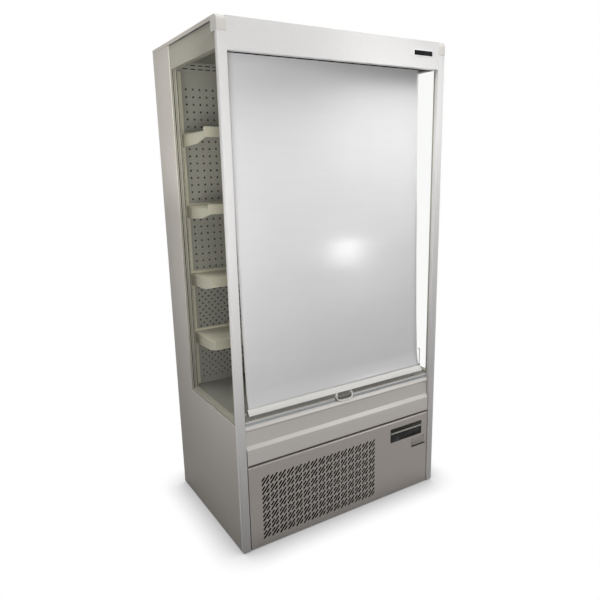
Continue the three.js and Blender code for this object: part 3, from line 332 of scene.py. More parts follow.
class PatternShelf:
    """Builds each surface pattern once, as a node group with the same sockets."""

    def __init__(self) -> None:
        """Starts with no groups made."""
        self.made: dict[Pattern, bpy.types.NodeTree] = {}

    def get(self, pattern: Pattern) -> bpy.types.NodeTree:
        """Returns a pattern's group, and builds it at its first use."""
        if pattern not in self.made:
            self.made[pattern] = self._build(pattern)
        return self.made[pattern]

    def _build(self, pattern: Pattern) -> bpy.types.NodeTree:
        """Builds one group.

        Args:
            pattern: which pattern.

        Returns:
            A group that puts out a shade factor, a roughness and a height.
        """
        tree = bpy.data.node_groups.new(pattern.value, "ShaderNodeTree")
        face = tree.interface
        face.new_socket("Vector", in_out="INPUT", socket_type="NodeSocketVector")
        for name in ("Fineness", "Spread", "Roughness"):
            face.new_socket(name, in_out="INPUT", socket_type="NodeSocketFloat")
        for name in ("Shade", "Roughness", "Height"):
            face.new_socket(name, in_out="OUTPUT", socket_type="NodeSocketFloat")
        desk = NodeDesk(tree)
        entry = desk.add("NodeGroupInput")
        leave = desk.add("NodeGroupOutput")
        vector, fineness, spread, roughness = (entry.outputs[i] for i in range(4))
        height, mottle = self._relief(desk, pattern, vector, fineness)
        broad = desk.noise(vector, 2.3, 3.0)
        wipe = desk.noise(desk.stretched(vector, (1.0, 1.0, 0.35)), 7.0, 5.0, 0.6)
        blend = desk.sum("ADD", desk.sum("MULTIPLY", mottle, 0.5), desk.sum("MULTIPLY", broad, 0.5))
        wander = desk.sum("MULTIPLY", desk.sum("SUBTRACT", blend, 0.5), spread)
        shade = desk.sum("MULTIPLY_ADD", wander, 2.0, 1.0)
        rub = desk.sum("MULTIPLY", desk.sum("SUBTRACT", wipe, 0.5), desk.sum("MULTIPLY", spread, 3.0))
        desk.feed(leave.inputs["Shade"], shade)
        desk.feed(leave.inputs["Roughness"], desk.sum("MULTIPLY", roughness, desk.sum("ADD", rub, 1.0)))
        desk.feed(leave.inputs["Height"], height)
        return tree

    @staticmethod
    def _relief(desk: NodeDesk, pattern: Pattern, vector: object,
                fineness: object) -> tuple[bpy.types.NodeSocket, bpy.types.NodeSocket]:
        """Makes a pattern's fine height and the mottle that shades it.

        Args:
            desk: the group's desk.
            pattern: which pattern.
            vector: coordinates in metres.
            fineness: features to a metre.

        Returns:
            The height and the mottle, both about 0 to 1.
        """
        if pattern is Pattern.PEEL:
            return desk.noise(vector, fineness, 2.0), desk.noise(vector, 60.0, 2.0)
        if pattern is Pattern.GRAIN:
            lines = desk.noise(desk.stretched(vector, (0.012, 1.0, 1.0)), fineness, 3.0, 0.6)
            return lines, desk.noise(desk.stretched(vector, (0.03, 1.0, 1.0)), 260.0, 3.0)
        if pattern is Pattern.MOULDED:
            cells = desk.add("ShaderNodeTexVoronoi", feature="SMOOTH_F1")
            desk.feed(cells.inputs["Vector"], vector)
            desk.feed(cells.inputs["Scale"], fineness)
            return cells.outputs["Distance"], desk.noise(vector, 40.0, 2.0)
        if pattern is Pattern.SPANGLE:
            flakes = desk.add("ShaderNodeTexVoronoi", feature="F1")
            desk.feed(flakes.inputs["Vector"], vector)
            desk.feed(flakes.inputs["Scale"], fineness)
            tone = desk.add("ShaderNodeSeparateColor")
            desk.feed(tone.inputs[0], flakes.outputs["Color"])
            return flakes.outputs["Distance"], tone.outputs[0]
        split = desk.add("ShaderNodeSeparateXYZ")
        desk.feed(split.inputs[0], vector)
        turns = desk.sum("MULTIPLY", fineness, math.tau)
        warp = desk.sum("SINE", desk.sum("MULTIPLY", split.outputs[0], turns))
        weft = desk.sum("SINE", desk.sum("MULTIPLY", split.outputs[1], turns))
        crossing = desk.sum("MULTIPLY_ADD", desk.sum("MULTIPLY", warp, weft), 0.5, 0.5)
        slub = desk.noise(desk.stretched(vector, (0.02, 1.0, 1.0)), 320.0, 4.0, 0.65)
        bands = desk.noise(desk.stretched(vector, (0.12, 1.0, 1.0)), 38.0, 3.0, 0.6)
        height = desk.sum("ADD", desk.sum("MULTIPLY", crossing, 0.5), desk.sum("MULTIPLY", slub, 0.9))
        return height, desk.sum("ADD", desk.sum("MULTIPLY", slub, 0.45), desk.sum("MULTIPLY", bands, 0.55))


class FinishBook:
    """Keeps the materials that the finishes turn into."""

    def __init__(self) -> None:
        """Starts with an empty book."""
        self.patterns = PatternShelf()
        self.made: dict[str, bpy.types.Material] = {}

    def get(self, finish: Finish | ClearFinish) -> bpy.types.Material:
        """Returns a finish's material, and builds it at its first use."""
        if finish.name not in self.made:
            build = self._clear if isinstance(finish, ClearFinish) else self._opaque
            self.made[finish.name] = build(finish)
            LOG.info("finish %s", finish.name)
        return self.made[finish.name]

    def _opaque(self, finish: Finish) -> bpy.types.Material:
        """Builds a painted, metal, plastic or cloth material.

        Args:
            finish: its values.

        Returns:
            The new material.
        """
        material = bpy.data.materials.new(finish.name)
        material.use_nodes = True
        desk = NodeDesk(material.node_tree)
        place = desk.add("ShaderNodeTexCoord")
        source = place.outputs["UV" if finish.pattern is Pattern.WEAVE else "Object"]
        group = desk.add("ShaderNodeGroup", node_tree=self.patterns.get(finish.pattern))
        desk.feed(group.inputs["Vector"], source)
        for name, value in (("Fineness", finish.fineness), ("Spread", finish.spread),
                            ("Roughness", finish.roughness)):
            group.inputs[name].default_value = value
        tint = desk.add("ShaderNodeMix", data_type="RGBA", blend_type="MULTIPLY")
        tint.inputs["Factor"].default_value = 1.0
        tint.inputs["A"].default_value = (*finish.color, 1.0)
        desk.feed(tint.inputs["B"], group.outputs["Shade"])
        bump = desk.add("ShaderNodeBump")
        bump.inputs["Distance"].default_value = finish.height
        desk.feed(bump.inputs["Height"], group.outputs["Height"])
        skin = desk.add("ShaderNodeBsdfPrincipled")
        desk.feed(skin.inputs["Base Color"], tint.outputs["Result"])
        desk.feed(skin.inputs["Roughness"], group.outputs["Roughness"])
        desk.feed(skin.inputs["Normal"], bump.outputs["Normal"])
        for name, value in (("Metallic", finish.metallic), ("Coat Weight", finish.coat),
                            ("Coat Roughness", finish.coat_roughness), ("Sheen Weight", finish.sheen),
                            ("Specular IOR Level", finish.specular)):
            skin.inputs[name].default_value = value
        out = desk.add("ShaderNodeOutputMaterial")
        desk.feed(out.inputs["Surface"], skin.outputs[0])
        return material

    @staticmethod
    def _clear(finish: ClearFinish) -> bpy.types.Material:
        """Builds glass that lets lamps through, or a thin clear plastic.

        Args:
            finish: its values.

        Returns:
            The new material.
        """
        material = bpy.data.materials.new(finish.name)
        material.use_nodes = True
        desk = NodeDesk(material.node_tree)
        skin = desk.add("ShaderNodeBsdfPrincipled")
        place = desk.add("ShaderNodeTexCoord")
        film = desk.noise(desk.stretched(place.outputs["Object"], (1.0, 1.0, 0.4)), 9.0, 4.0, 0.6)
        clouded = desk.sum("MULTIPLY_ADD", film, finish.roughness, finish.roughness / 2)
        skin.inputs["Base Color"].default_value = (*finish.tint, 1.0)
        desk.feed(skin.inputs["Roughness"], clouded)
        out = desk.add("ShaderNodeOutputMaterial")
        if finish.opacity:
            skin.inputs["Alpha"].default_value = finish.opacity
            desk.feed(out.inputs["Surface"], skin.outputs[0])
            return material
        skin.inputs["Transmission Weight"].default_value = 1.0
        skin.inputs["IOR"].default_value = 1.03
        passing = desk.add("ShaderNodeBsdfTransparent")
        passing.inputs["Color"].default_value = (*finish.tint, 1.0)
        rays = desk.add("ShaderNodeLightPath")
        choice = desk.add("ShaderNodeMixShader")
        unseen = desk.sum("MAXIMUM", rays.outputs["Is Shadow Ray"], rays.outputs["Is Diffuse Ray"])
        desk.feed(choice.inputs[0], unseen)
        desk.feed(choice.inputs[1], skin.outputs[0])
        desk.feed(choice.inputs[2], passing.outputs[0])
        desk.feed(out.inputs["Surface"], choice.outputs[0])
        return material


# ---------------------------------------------------------------- shaping


def edges_of(verts: Sequence[bmesh.types.BMVert]) -> list[bmesh.types.BMEdge]:
    """The edges that meet the given vertices, each once."""
    return list({edge for vert in verts for edge in vert.link_edges})


def verts_of(made: dict) -> list[bmesh.types.BMVert]:
    """The vertices among what an operator made."""
    return [part for part in made["geom"] if isinstance(part, bmesh.types.BMVert)]


def faces_of(made: dict) -> list[bmesh.types.BMFace]:
    """The faces among what an operator made."""
    return [part for part in made["geom"] if isinstance(part, bmesh.types.BMFace)]


def soften(bm: bmesh.types.BMesh, edges: Sequence[bmesh.types.BMEdge], width: float, segments: int = 2) -> None:
    """Rounds edges over by a width in millimetres."""
    bmesh.ops.bevel(bm, geom=list(edges), offset=width * MM, offset_type="OFFSET", segments=segments, profile=0.5,
                    affect="EDGES", clamp_overlap=True, material=-1)


def block(bm: bmesh.types.BMesh, across: Span, depth: Span, height: Span, ease: float = 0.3,
          segments: int = 2) -> None:
    """Adds a block with eased edges.

    Args:
        bm: the mesh it joins.
        across: span across.
        depth: span of depth.
        height: span of height.
        ease: radius of its edges.
        segments: facets of each rounded edge.
    """
    low = at(across[0], depth[0], height[0])
    high = at(across[1], depth[1], height[1])
    size = high - low
    matrix = Matrix.Translation((low + high) / 2) @ Matrix.Diagonal((*size, 1.0))
    made = bmesh.ops.create_cube(bm, size=1.0, matrix=matrix)
    if ease:
        soften(bm, edges_of(made["verts"]), ease, segments)


def prism(bm: bmesh.types.BMesh, corners: Sequence[Vector], travel: Vector) -> None:
    """Adds a flat outline drawn out along a vector, both in metres."""
    face = bm.faces.new([bm.verts.new(corner) for corner in corners])
    grown = bmesh.ops.extrude_face_region(bm, geom=[face])
    bmesh.ops.translate(bm, vec=travel, verts=verts_of(grown))


def section_bar(bm: bmesh.types.BMesh, section: Sequence[Span], across: Span) -> None:
    """Adds a bar along the cabinet's width from a (depth, height) section."""
    corners = [at(across[0], depth, height) for depth, height in section]
    prism(bm, corners, ACROSS * (across[1] - across[0]) * MM)


def lathe(bm: bmesh.types.BMesh, profile: Sequence[Span], centre: Vector, axis: Vector, steps: int = 32) -> None:
    """Adds a turned shape.

    Args:
        bm: the mesh it joins.
        profile: (radius, along) pairs in millimetres.
        centre: where along is 0, in metres.
        axis: unit vector of the axis.
        steps: facets round it.
    """
    side = axis.orthogonal().normalized()
    verts = [bm.verts.new(centre + side * radius * MM + axis * along * MM) for radius, along in profile]
    edges = [bm.edges.new(pair) for pair in zip(verts, verts[1:])]
    bmesh.ops.spin(bm, geom=[*verts, *edges], cent=centre, axis=axis, angle=math.tau, steps=steps, use_merge=True,
                   use_duplicate=False)
    bmesh.ops.remove_doubles(bm, verts=bm.verts[:], dist=1e-7)


def rounded_path(points: Sequence[Vector], bend: float, steps: int = 5) -> list[Vector]:
    """Rounds the corners of a path.

    Args:
        points: the path's corners in metres.
        bend: how far before each corner it starts to turn, in millimetres.
        steps: points in each turn.

    Returns:
        The path with each corner drawn as a curve.
    """
    path = [points[0]]
    for before, corner, after in zip(points, points[1:], points[2:]):
        start = corner + (before - corner).normalized() * bend * MM
        end = corner + (after - corner).normalized() * bend * MM
        for step in range(steps + 1):
            share = step / steps
            path.append(start.lerp(corner, share).lerp(corner.lerp(end, share), share))
    return [*path, points[-1]]


def tube(bm: bmesh.types.BMesh, path: Sequence[Vector], radius: float, sides: int = 10) -> None:
    """Sweeps a round section along a path, by drawing its end face on from point to point.

    Args:
        bm: the mesh it joins.
        path: points in metres.
        radius: in millimetres.
        sides: facets round it.
    """
    legs = [(after - before).normalized() for before, after in zip(path, path[1:])]
    headings = [legs[0], *[(one + two).normalized() for one, two in zip(legs, legs[1:])], legs[-1]]
    turn = Vector((0, 0, 1)).rotation_difference(headings[0]).to_matrix()
    here = Matrix.Translation(path[0]) @ turn.to_4x4()
    made = bmesh.ops.create_circle(bm, cap_ends=True, segments=sides, radius=radius * MM, matrix=here)
    face = made["verts"][0].link_faces[0]
    for point, old, new in zip(path[1:], headings, headings[1:]):
        turn = old.rotation_difference(new).to_matrix() @ turn
        there = Matrix.Translation(point) @ turn.to_4x4()
        grown = bmesh.ops.extrude_face_region(bm, geom=[face])
        bmesh.ops.transform(bm, matrix=there @ here.inverted(), verts=verts_of(grown))
        face = faces_of(grown)[0]
        here = there


def repeat(bm: bmesh.types.BMesh, geom: Sequence[object], step: Vector, count: int) -> None:
    """Copies geometry count more times, each one step in metres further on."""
    bmesh.ops.spin(bm, geom=list(geom), cent=(0, 0, 0), axis=(0, 0, 1), dvec=step, angle=0.0, steps=count,
                   use_duplicate=True)


def loop_of(bm: bmesh.types.BMesh, points: Sequence[Vector]) -> list[bmesh.types.BMEdge]:
    """Adds a closed ring of edges through points in metres."""
    verts = [bm.verts.new(point) for point in points]
    return [bm.edges.new((verts[i - 1], verts[i])) for i in range(len(verts))]


def slot_ring(across: float, height: float, length: float, width: float, turn: float, steps: int = 4) -> list[Span]:
    """The outline of a slot with rounded ends.

    Args:
        across: its centre across.
        height: its centre's height.
        length: its whole length.
        width: its width.
        turn: its slant in radians.
        steps: facets of each rounded end.

    Returns:
        (across, height) pairs round it.
    """
    ring = []
    for end in (0, 1):
        for step in range(steps + 1):
            angle = turn + math.pi * (end - 0.5 + step / steps)
            reach = (length - width) / 2 * (1 - 2 * end)
            ring.append((across + reach * math.cos(turn) + width / 2 * math.cos(angle),
                         height + reach * math.sin(turn) + width / 2 * math.sin(angle)))
    return ring


def frame_of(across: Span, height: Span) -> list[Span]:
    """The four corners of an upright rectangle, going round."""
    return [(across[0], height[0]), (across[1], height[0]), (across[1], height[1]), (across[0], height[1])]


def pierced_sheet(bm: bmesh.types.BMesh, rim: Sequence[Span], holes: Sequence[Sequence[Span]], depth: float,
                  thickness: float) -> None:
    """Adds an upright sheet with holes, which faces the front.

    Args:
        bm: the mesh it joins.
        rim: its outline as (across, height) pairs.
        holes: the outlines of its holes.
        depth: depth of its front face.
        thickness: in millimetres.
    """
    edges = [edge for ring in (rim, *holes) for edge in loop_of(bm, [at(x, depth, z) for x, z in ring])]
    filled = bmesh.ops.triangle_fill(bm, edges=edges, use_beauty=True, use_dissolve=False, normal=(0, -1, 0))
    grown = bmesh.ops.extrude_face_region(bm, geom=faces_of(filled), use_keep_orig=True)
    bmesh.ops.translate(bm, vec=BACKWARDS * thickness * MM, verts=verts_of(grown))


def folded_bar(bm: bmesh.types.BMesh, line: Sequence[Vector], travel: Vector, thickness: float) -> None:
    """Adds bent sheet metal: a line drawn out along a vector and given its thickness.

    Args:
        bm: the mesh it joins.
        line: the fold's outer line, in metres.
        travel: how far and where it is drawn out, in metres.
        thickness: of the sheet in millimetres.
    """
    verts = [bm.verts.new(point) for point in line]
    edges = [bm.edges.new(pair) for pair in zip(verts, verts[1:])]
    grown = bmesh.ops.extrude_edge_only(bm, edges=edges)
    faces = faces_of(grown)
    bmesh.ops.translate(bm, vec=travel, verts=verts_of(grown))
    bmesh.ops.recalc_face_normals(bm, faces=faces)
    bmesh.ops.solidify(bm, geom=faces, thickness=thickness * MM)


def slotted_cell(bm: bmesh.types.BMesh, middle: Vector, slot: Vector, cell: Vector) -> list[object]:
    """Adds a square-cornered cell of sheet round a slot.

    Args:
        bm: the sheet that it joins.
        middle: its centre in metres.
        slot: half the slot's size in millimetres, with 0 across the sheet.
        cell: half the cell's size in millimetres, with 0 across the sheet.

    Returns:
        Its vertices, edges and faces.
    """
    signs = ((-1, -1), (1, -1), (1, 1), (-1, 1))
    ring = [bm.verts.new(middle + Vector((s * slot.x, t * slot.y, t * slot.z)) * MM) for s, t in signs]
    edges = [bm.edges.new((ring[i], ring[(i + 1) % 4])) for i in range(4)]
    grown = bmesh.ops.extrude_edge_only(bm, edges=edges)
    outer = verts_of(grown)
    for vert in outer:
        way = vert.co - middle
        vert.co = middle + Vector([math.copysign(reach, part) for reach, part in zip(cell, way)]) * MM
    return [*ring, *outer, *edges_of(ring + outer), *faces_of(grown)]


def everything(bm: bmesh.types.BMesh) -> list[object]:
    """All the vertices, edges and faces of a mesh."""
    return [*bm.verts, *bm.edges, *bm.faces]


def pin_head(bm: bmesh.types.BMesh, centre: Vector, outward: Vector, radius: float = 3.6) -> None:
    """Adds a domed fastener head that stands proud of a sheet."""
    profile = [(radius, -0.4), (radius, 0.1), (radius * 0.82, 0.75), (radius * 0.45, 1.0), (0.0, 1.05)]
    lathe(bm, profile, centre, outward, 14)


class Workshop:
    """Turns shaped meshes into pieces of the object, on the right body and in the right finish."""

    def __init__(self, frame: dict, finishes: FinishBook) -> None:
        """Keeps what every sub-assembly needs.

        Args:
            finishes: the book of materials.
        """
        self.nodes: dict[str, bpy.types.Object] = frame["nodes"]
        self.finishes = finishes
        groups = frame["record"]["behaviour"]["bodies"]
        self.bodies = {node: body for body, members in groups.items() for node in members}

    def piece(self, name: str, bm: bmesh.types.BMesh, finish: Finish | ClearFinish, body: str = "cabinet",
              replaces: Sequence[str] = (), smooth: float = 35.0, outward: bool = True) -> bpy.types.Object:
        """Makes a piece from a mesh.

        Args:
            name: the piece's name.
            bm: its shape, which is freed.
            finish: what it is finished in.
            body: the body that it rides on.
            replaces: CAD nodes that it stands for.
            smooth: edges flatter than this many degrees are shaded smooth.
            outward: whether to turn its faces outwards.

        Returns:
            The new object.
        """
        if outward:
            bmesh.ops.recalc_face_normals(bm, faces=bm.faces[:])
        mesh = bpy.data.meshes.new(name)
        bm.to_mesh(mesh)
        bm.free()
        mesh.shade_smooth()
        mesh.set_sharp_from_angle(angle=math.radians(smooth))
        mesh.materials.append(self.finishes.get(finish))
        made = bpy.data.objects.new(name, mesh)
        bpy.context.scene.collection.objects.link(made)
        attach(made, body)
        if replaces:
            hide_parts(*replaces)
        LOG.info("piece %s: %d faces on %s", name, len(mesh.polygons), body)
        return made

    def merged(self, node: str) -> bmesh.types.BMesh:
        """A copy of a CAD node's mesh, merged, with its flat faces made whole again."""
        bm = bmesh.new()
        bm.from_mesh(self.nodes[node].data)
        bmesh.ops.remove_doubles(bm, verts=bm.verts[:], dist=3e-6)
        bmesh.ops.dissolve_limit(bm, angle_limit=math.radians(0.6), verts=bm.verts[:], edges=bm.edges[:],
                                 use_dissolve_boundaries=False, delimit=set())
        return bm

    def eased(self, node: str, finish: Finish, ease: float, segments: int = 2,
              sharp: float = 28.0) -> bpy.types.Object:
        """Stands a copy of a CAD node with rounded edges in its place.

        Args:
            node: the CAD node.
            finish: what it is finished in.
            ease: radius of its edges in millimetres.
            segments: facets of each rounded edge.
            sharp: edges sharper than this many degrees are rounded.

        Returns:
            The new object.
        """
        made = self.piece(f"{node}_eased", self.merged(node), finish, self.bodies[node], (node,), 60.0, False)
        made.data.shade_smooth()
        bevel = made.modifiers.new("eased_edges", "BEVEL")
        bevel.width = ease * MM
        bevel.segments = segments
        bevel.limit_method = "ANGLE"
        bevel.angle_limit = math.radians(sharp)
        bevel.harden_normals = True
        bevel.use_clamp_overlap = True
        return made

    def dress(self, node: str, finish: Finish | ClearFinish) -> None:
        """Gives a CAD node that stays its finish."""
        data = self.nodes[node].data
        data.materials.clear()
        data.materials.append(self.finishes.get(finish))
        LOG.info("node %s in %s", node, finish.name)


# ---------------------------------------------------------------- studio


@dataclass
class Studio:
    """The camera, the lamps and the floor.

    Args:
        fill: strength of the even light from all round.
        front_power: watts of the broad lamp in front.
        ceiling_power: watts of the lamp over the front.
        side_power: watts of the lamp on the left.
        right_power: watts of the lamp on the right.
        band_power: watts of the long lamp that bright folds mirror.
        back_power: watts of the broad lamp behind.
        glint_power: watts of the small lamp that the blind mirrors.
    """

    fill: float = 0.05
    front_power: float = 0.95
    ceiling_power: float = 7.8
    side_power: float = 8.6
    right_power: float = 8.5
    band_power: float = 0.75
    back_power: float = 24.0
    glint_power: float = 7.5

    def build(self) -> None:
        """Builds the whole studio."""
        self.camera()
        self.sky()
        self.floor()
        self.lamp("front_lamp", Vector((0.5, -0.85, 2.1)), Vector((0.5, -0.3, 1.65)), (1.0, 0.5),
                  self.front_power, 60)
        self.lamp("ceiling_lamp", Vector((-0.3, -0.8, 2.8)), Vector((0.4, -0.3, 1.2)), (2.0, 0.6),
                  self.ceiling_power, 80, True)
        self.lamp("left_lamp", Vector((-1.1, -1.6, 1.2)), Vector((-0.5, 0.3, 1.7)), (0.6, 0.6),
                  self.side_power, 120)
        self.lamp("upper_left_lamp", Vector((-0.85, 0.0, 1.6)), Vector((-0.5, 0.3, 1.7)), (0.6, 0.6),
                  self.side_power * 0.05, 50)
        self.lamp("rear_left_lamp", Vector((-1.8, 0.4, 2.0)), Vector((-0.5, -0.25, 0.9)), (0.6, 0.6),
                  self.side_power * 0.15, 50)
        self.lamp("band_lamp", Vector((1.4, -2.3, 1.74)), Vector((0.0, -0.32, 0.46)), (2.7, 0.3), self.band_power,
                  60, True)
        self.lamp("right_lamp", Vector((1.6, 0.0, 1.7)), Vector((0.5, 0.0, 1.3)), (0.9, 0.9), self.right_power)
        self.lamp("back_lamp", Vector((0.2, 1.9, 1.7)), Vector((0.0, 0.3, 1.1)), (1.8, 1.4), self.back_power)
        self.lamp("glint_lamp", Vector((1.79, -2.63, 0.84)), Vector((0.06, -0.25, 1.14)), (0.24, 0.24),
                  self.glint_power, mirrored=True)
        LOG.info("studio built")

    @staticmethod
    def camera() -> None:
        """Places the camera at the photograph's viewing angle."""
        right = Vector((0.85053, -0.52543, -0.02291))
        down = Vector((-0.13752, -0.18014, -0.97398))
        forward = right.cross(down)
        data = bpy.data.cameras.new("viewpoint")
        data.sensor_width = 36.0
        data.lens = 36.0 * 561.79 / 600.0
        camera = bpy.data.objects.new("viewpoint", data)
        turn = Matrix((right, -down, -forward)).transposed()
        camera.matrix_world = Matrix.Translation((-1.2918, -2.0858, 1.4622)) @ turn.to_4x4()
        bpy.context.scene.collection.objects.link(camera)
        bpy.context.scene.camera = camera

    @staticmethod
    def seen_directly(desk: NodeDesk) -> bpy.types.NodeSocket:
        """1 for rays of the camera, of reflections and through glass, else 0."""
        rays = desk.add("ShaderNodeLightPath")
        glossy = desk.sum("MAXIMUM", rays.outputs["Is Camera Ray"], rays.outputs["Is Glossy Ray"])
        return desk.sum("MAXIMUM", glossy, rays.outputs["Is Transmission Ray"])

    def sky(self) -> None:
        """White to look at, and a plain grey fill as a light."""
        world = bpy.data.worlds.new("studio_sky")
        world.use_nodes = True
        desk = NodeDesk(world.node_tree)
        share = self.seen_directly(desk)
        ground = desk.add("ShaderNodeBackground")
        ground.inputs["Color"].default_value = (1.0, 1.0, 1.0, 1.0)
        desk.feed(ground.inputs["Strength"], desk.sum("MULTIPLY_ADD", share, 1.0 - self.fill, self.fill))
        out = desk.add("ShaderNodeOutputWorld")
        desk.feed(out.inputs["Surface"], ground.outputs[0])
        bpy.context.scene.world = world

    def floor(self) -> None:
        """A white floor that glows for the camera, with its contact shadow painted from ambient occlusion, and
        throws little light back up.
        """
        bm = bmesh.new()
        bmesh.ops.create_grid(bm, x_segments=2, y_segments=2, size=14.0)
        mesh = bpy.data.meshes.new("studio_floor")
        bm.to_mesh(mesh)
        bm.free()
        material = bpy.data.materials.new("studio_floor")
        material.use_nodes = True
        desk = NodeDesk(material.node_tree)
        share = self.seen_directly(desk)
        dull = desk.add("ShaderNodeBsdfDiffuse")
        dull.inputs["Color"].default_value = (0.135, 0.112, 0.09, 1.0)
        # Ambient occlusion paints the contact shadow into the floor's glow.
        contact = desk.add("ShaderNodeAmbientOcclusion", samples=12)
        contact.inputs["Distance"].default_value = 0.13
        pale = desk.add("ShaderNodeEmission")
        desk.feed(pale.inputs["Strength"], contact.outputs["AO"])
        choice = desk.add("ShaderNodeMixShader")
        desk.feed(choice.inputs[0], share)
        desk.feed(choice.inputs[1], dull.outputs[0])
        desk.feed(choice.inputs[2], pale.outputs[0])
        out = desk.add("ShaderNodeOutputMaterial")
        desk.feed(out.inputs["Surface"], choice.outputs[0])
        mesh.materials.append(material)
        floor = bpy.data.objects.new("studio_floor", mesh)
        bpy.context.scene.collection.objects.link(floor)
        floor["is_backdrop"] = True

    @staticmethod
    def lamp(name: str, place: Vector, target: Vector, size: Span, power: float, spread: float = 180.0,
             mirrored: bool = False) -> None:
        """Hangs one soft lamp.

        Args:
            name: its name.
            place: where it hangs, in metres.
            target: where it points, in metres.
            size: its width and height in metres.
            power: in watts.
            spread: how wide it shines, in degrees.
            mirrored: whether shiny surfaces show it.
        """
        data = bpy.data.lights.new(name, "AREA")
        data.shape = "RECTANGLE"
        data.size, data.size_y = size
        data.energy = power
        data.spread = math.radians(spread)
        lamp = bpy.data.objects.new(name, data)
        lamp.location = place
        lamp.visible_camera = False
        lamp.visible_glossy = mirrored
        lamp.rotation_euler = (target - place).to_track_quat("-Z", "Y").to_euler()
        bpy.context.scene.collection.objects.link(lamp)


# ---------------------------------------------------------------- sub-assemblies


@dataclass
class Shell:
    """The base, the feet, the insulated body, the side panels, the roof and the rear cover.

    Args:
        shop: the workshop.
        sheet_ease: radius of folded sheet edges.
    """

    shop: Workshop
    sheet_ease: float = 1.0

    def build(self) -> None:
        """Builds the shell."""
        for side in Side:
            self.shop.eased(f"{side.word}_side_panel", GREY_PAINT, self.sheet_ease)
        self.shop.eased("roof_panel", GREY_PAINT, self.sheet_ease)
        self.shop.eased("insulated_back", GREY_PAINT, self.sheet_ease)
        self.shop.dress("insulated_well", SHADED_LINER_PAINT)
        self.shop.eased("base_frame", GALVANISED, 0.6)
        self.shop.eased("rear_machine_cover", GALVANISED, 0.3)
        self.feet()
        self.rear_screws()

    def feet(self) -> None:
        """Levelling feet: a rounded disc, a threaded stem and a hexagon nut."""
        for end, depth in (("front", 50.0), ("rear", 595.0)):
            for side in Side:
                bm = bmesh.new()
                centre = at(side.value * 430.0, depth, 0.0)
                lathe(bm, [(0, 0), (17.5, 0), (19.6, 1.2), (20, 2.6), (19.4, 5.4), (17, 7.2), (9, 8.4), (8, 9.6),
                           (0, 9.6)], centre, UP, 40)
                stem = [(0.0, 9.0)]
                for thread in range(9):
                    stem += [(5.2, 9.0 + thread * 2.0), (6.0, 10.0 + thread * 2.0)]
                lathe(bm, [*stem, (5.2, 27.6), (0.0, 27.6)], centre, UP, 24)
                turns = [step * math.pi / 3 for step in range(6)]
                nut = [centre + Vector((9.2 * math.cos(turn), 9.2 * math.sin(turn), 19.5)) * MM for turn in turns]
                prism(bm, nut, UP * 5.5 * MM)
                name = f"foot_{end}_{side.word}"
                self.shop.piece(f"{name}_turned", bm, FOOT_RUBBER, replaces=(name,))

    def rear_screws(self) -> None:
        """Screw heads along the edges of the back and of the rear cover."""
        bm = bmesh.new()
        back, cover = 644.0, 642.3
        spots = [at(-360.0 + step * 180.0, back, 1918.0) for step in range(5)]
        for side in Side:
            spots += [at(side.value * 452.0, back, 400.0 + step * 188.0) for step in range(9)]
            spots += [at(side.value * 458.0, cover, 48.0 + step * 138.0) for step in range(3)]
        for spot in spots:
            pin_head(bm, spot, BACKWARDS)
        self.shop.piece("rear_screws", bm, GALVANISED)


@dataclass
class GlazedEnds:
    """The uprights, the end caps, the panes and their spacer frames.

    Args:
        shop: the workshop.
        band_foot: height of the pale band's lower edge.
    """

    shop: Workshop
    band_foot: float = 1850.0

    def build(self) -> None:
        """Builds both ends."""
        for side in Side:
            self.shop.eased(f"{side.word}_front_upright", WHITE_PAINT, 1.2, 3)
            self.shop.eased(f"{side.word}_end_cap", CAP_PLASTIC, 1.4, 3, 20.0)
            self.shop.eased(f"{side.word}_glazing_frame", OLIVE_TRIM, 0.5)
            for pane in ("outer", "inner"):
                self.shop.dress(f"{side.word}_{pane}_pane", CLEAR_GLASS)
            self.band_trim(side)
            self.seals(side)

    def seals(self, side: Side) -> None:
        """The dark edge seal of the double glazing, and the lines of the spacer in the rear reveal.

        Args:
            side: which end.
        """
        bm = bmesh.new()
        hidden = side.span(495.24, 495.46)
        for depth, height in (((455.2, 457.6), (PANE_FOOT + 0.1, 1935.4)), ((18.8, 457.6), (1933.2, 1935.6)),
                              ((18.8, 457.6), (PANE_FOOT, PANE_FOOT + 1.8)), ((18.7, 20.9), (PANE_FOOT, 1899.4))):
            block(bm, hidden, depth, height, 0.0)
        for near, far in ((490.6, 493.9), (475.4, 477.8)):
            block(bm, side.span(near, far), (444.5, 445.6), REVEAL, 0.3)
        self.shop.piece(f"{side.word}_edge_seal", bm, EDGE_SEAL)
        bm = bmesh.new()
        block(bm, side.span(484.6, 487.4), (444.1, 445.6), REVEAL, 0.5)
        self.shop.piece(f"{side.word}_spacer_line", bm, BRONZE_TRIM)

    def band_trim(self, side: Side) -> None:
        """The ribbed lower edge of the pale band, and the cream strip beside the upright.

        Args:
            side: which end.
        """
        bm = bmesh.new()
        bead = 3.2
        for below, proud in ((12.8, 22.6), (8.4, 21.8)):
            top = self.band_foot + below
            block(bm, side.span(472.2, 472.2 + proud), (30.8, 445.2), (top - bead, top), 0.8)
        self.shop.piece(f"{side.word}_band_beads", bm, OLIVE_TRIM)
        bm = bmesh.new()
        block(bm, side.span(495.23, 495.43), (21.2, 30.0), (539.2, 1898.5), 0.0)
        soften(bm, bm.edges[:], 0.05, 1)
        self.shop.piece(f"{side.word}_band_strip", bm, CREAM_TRIM)


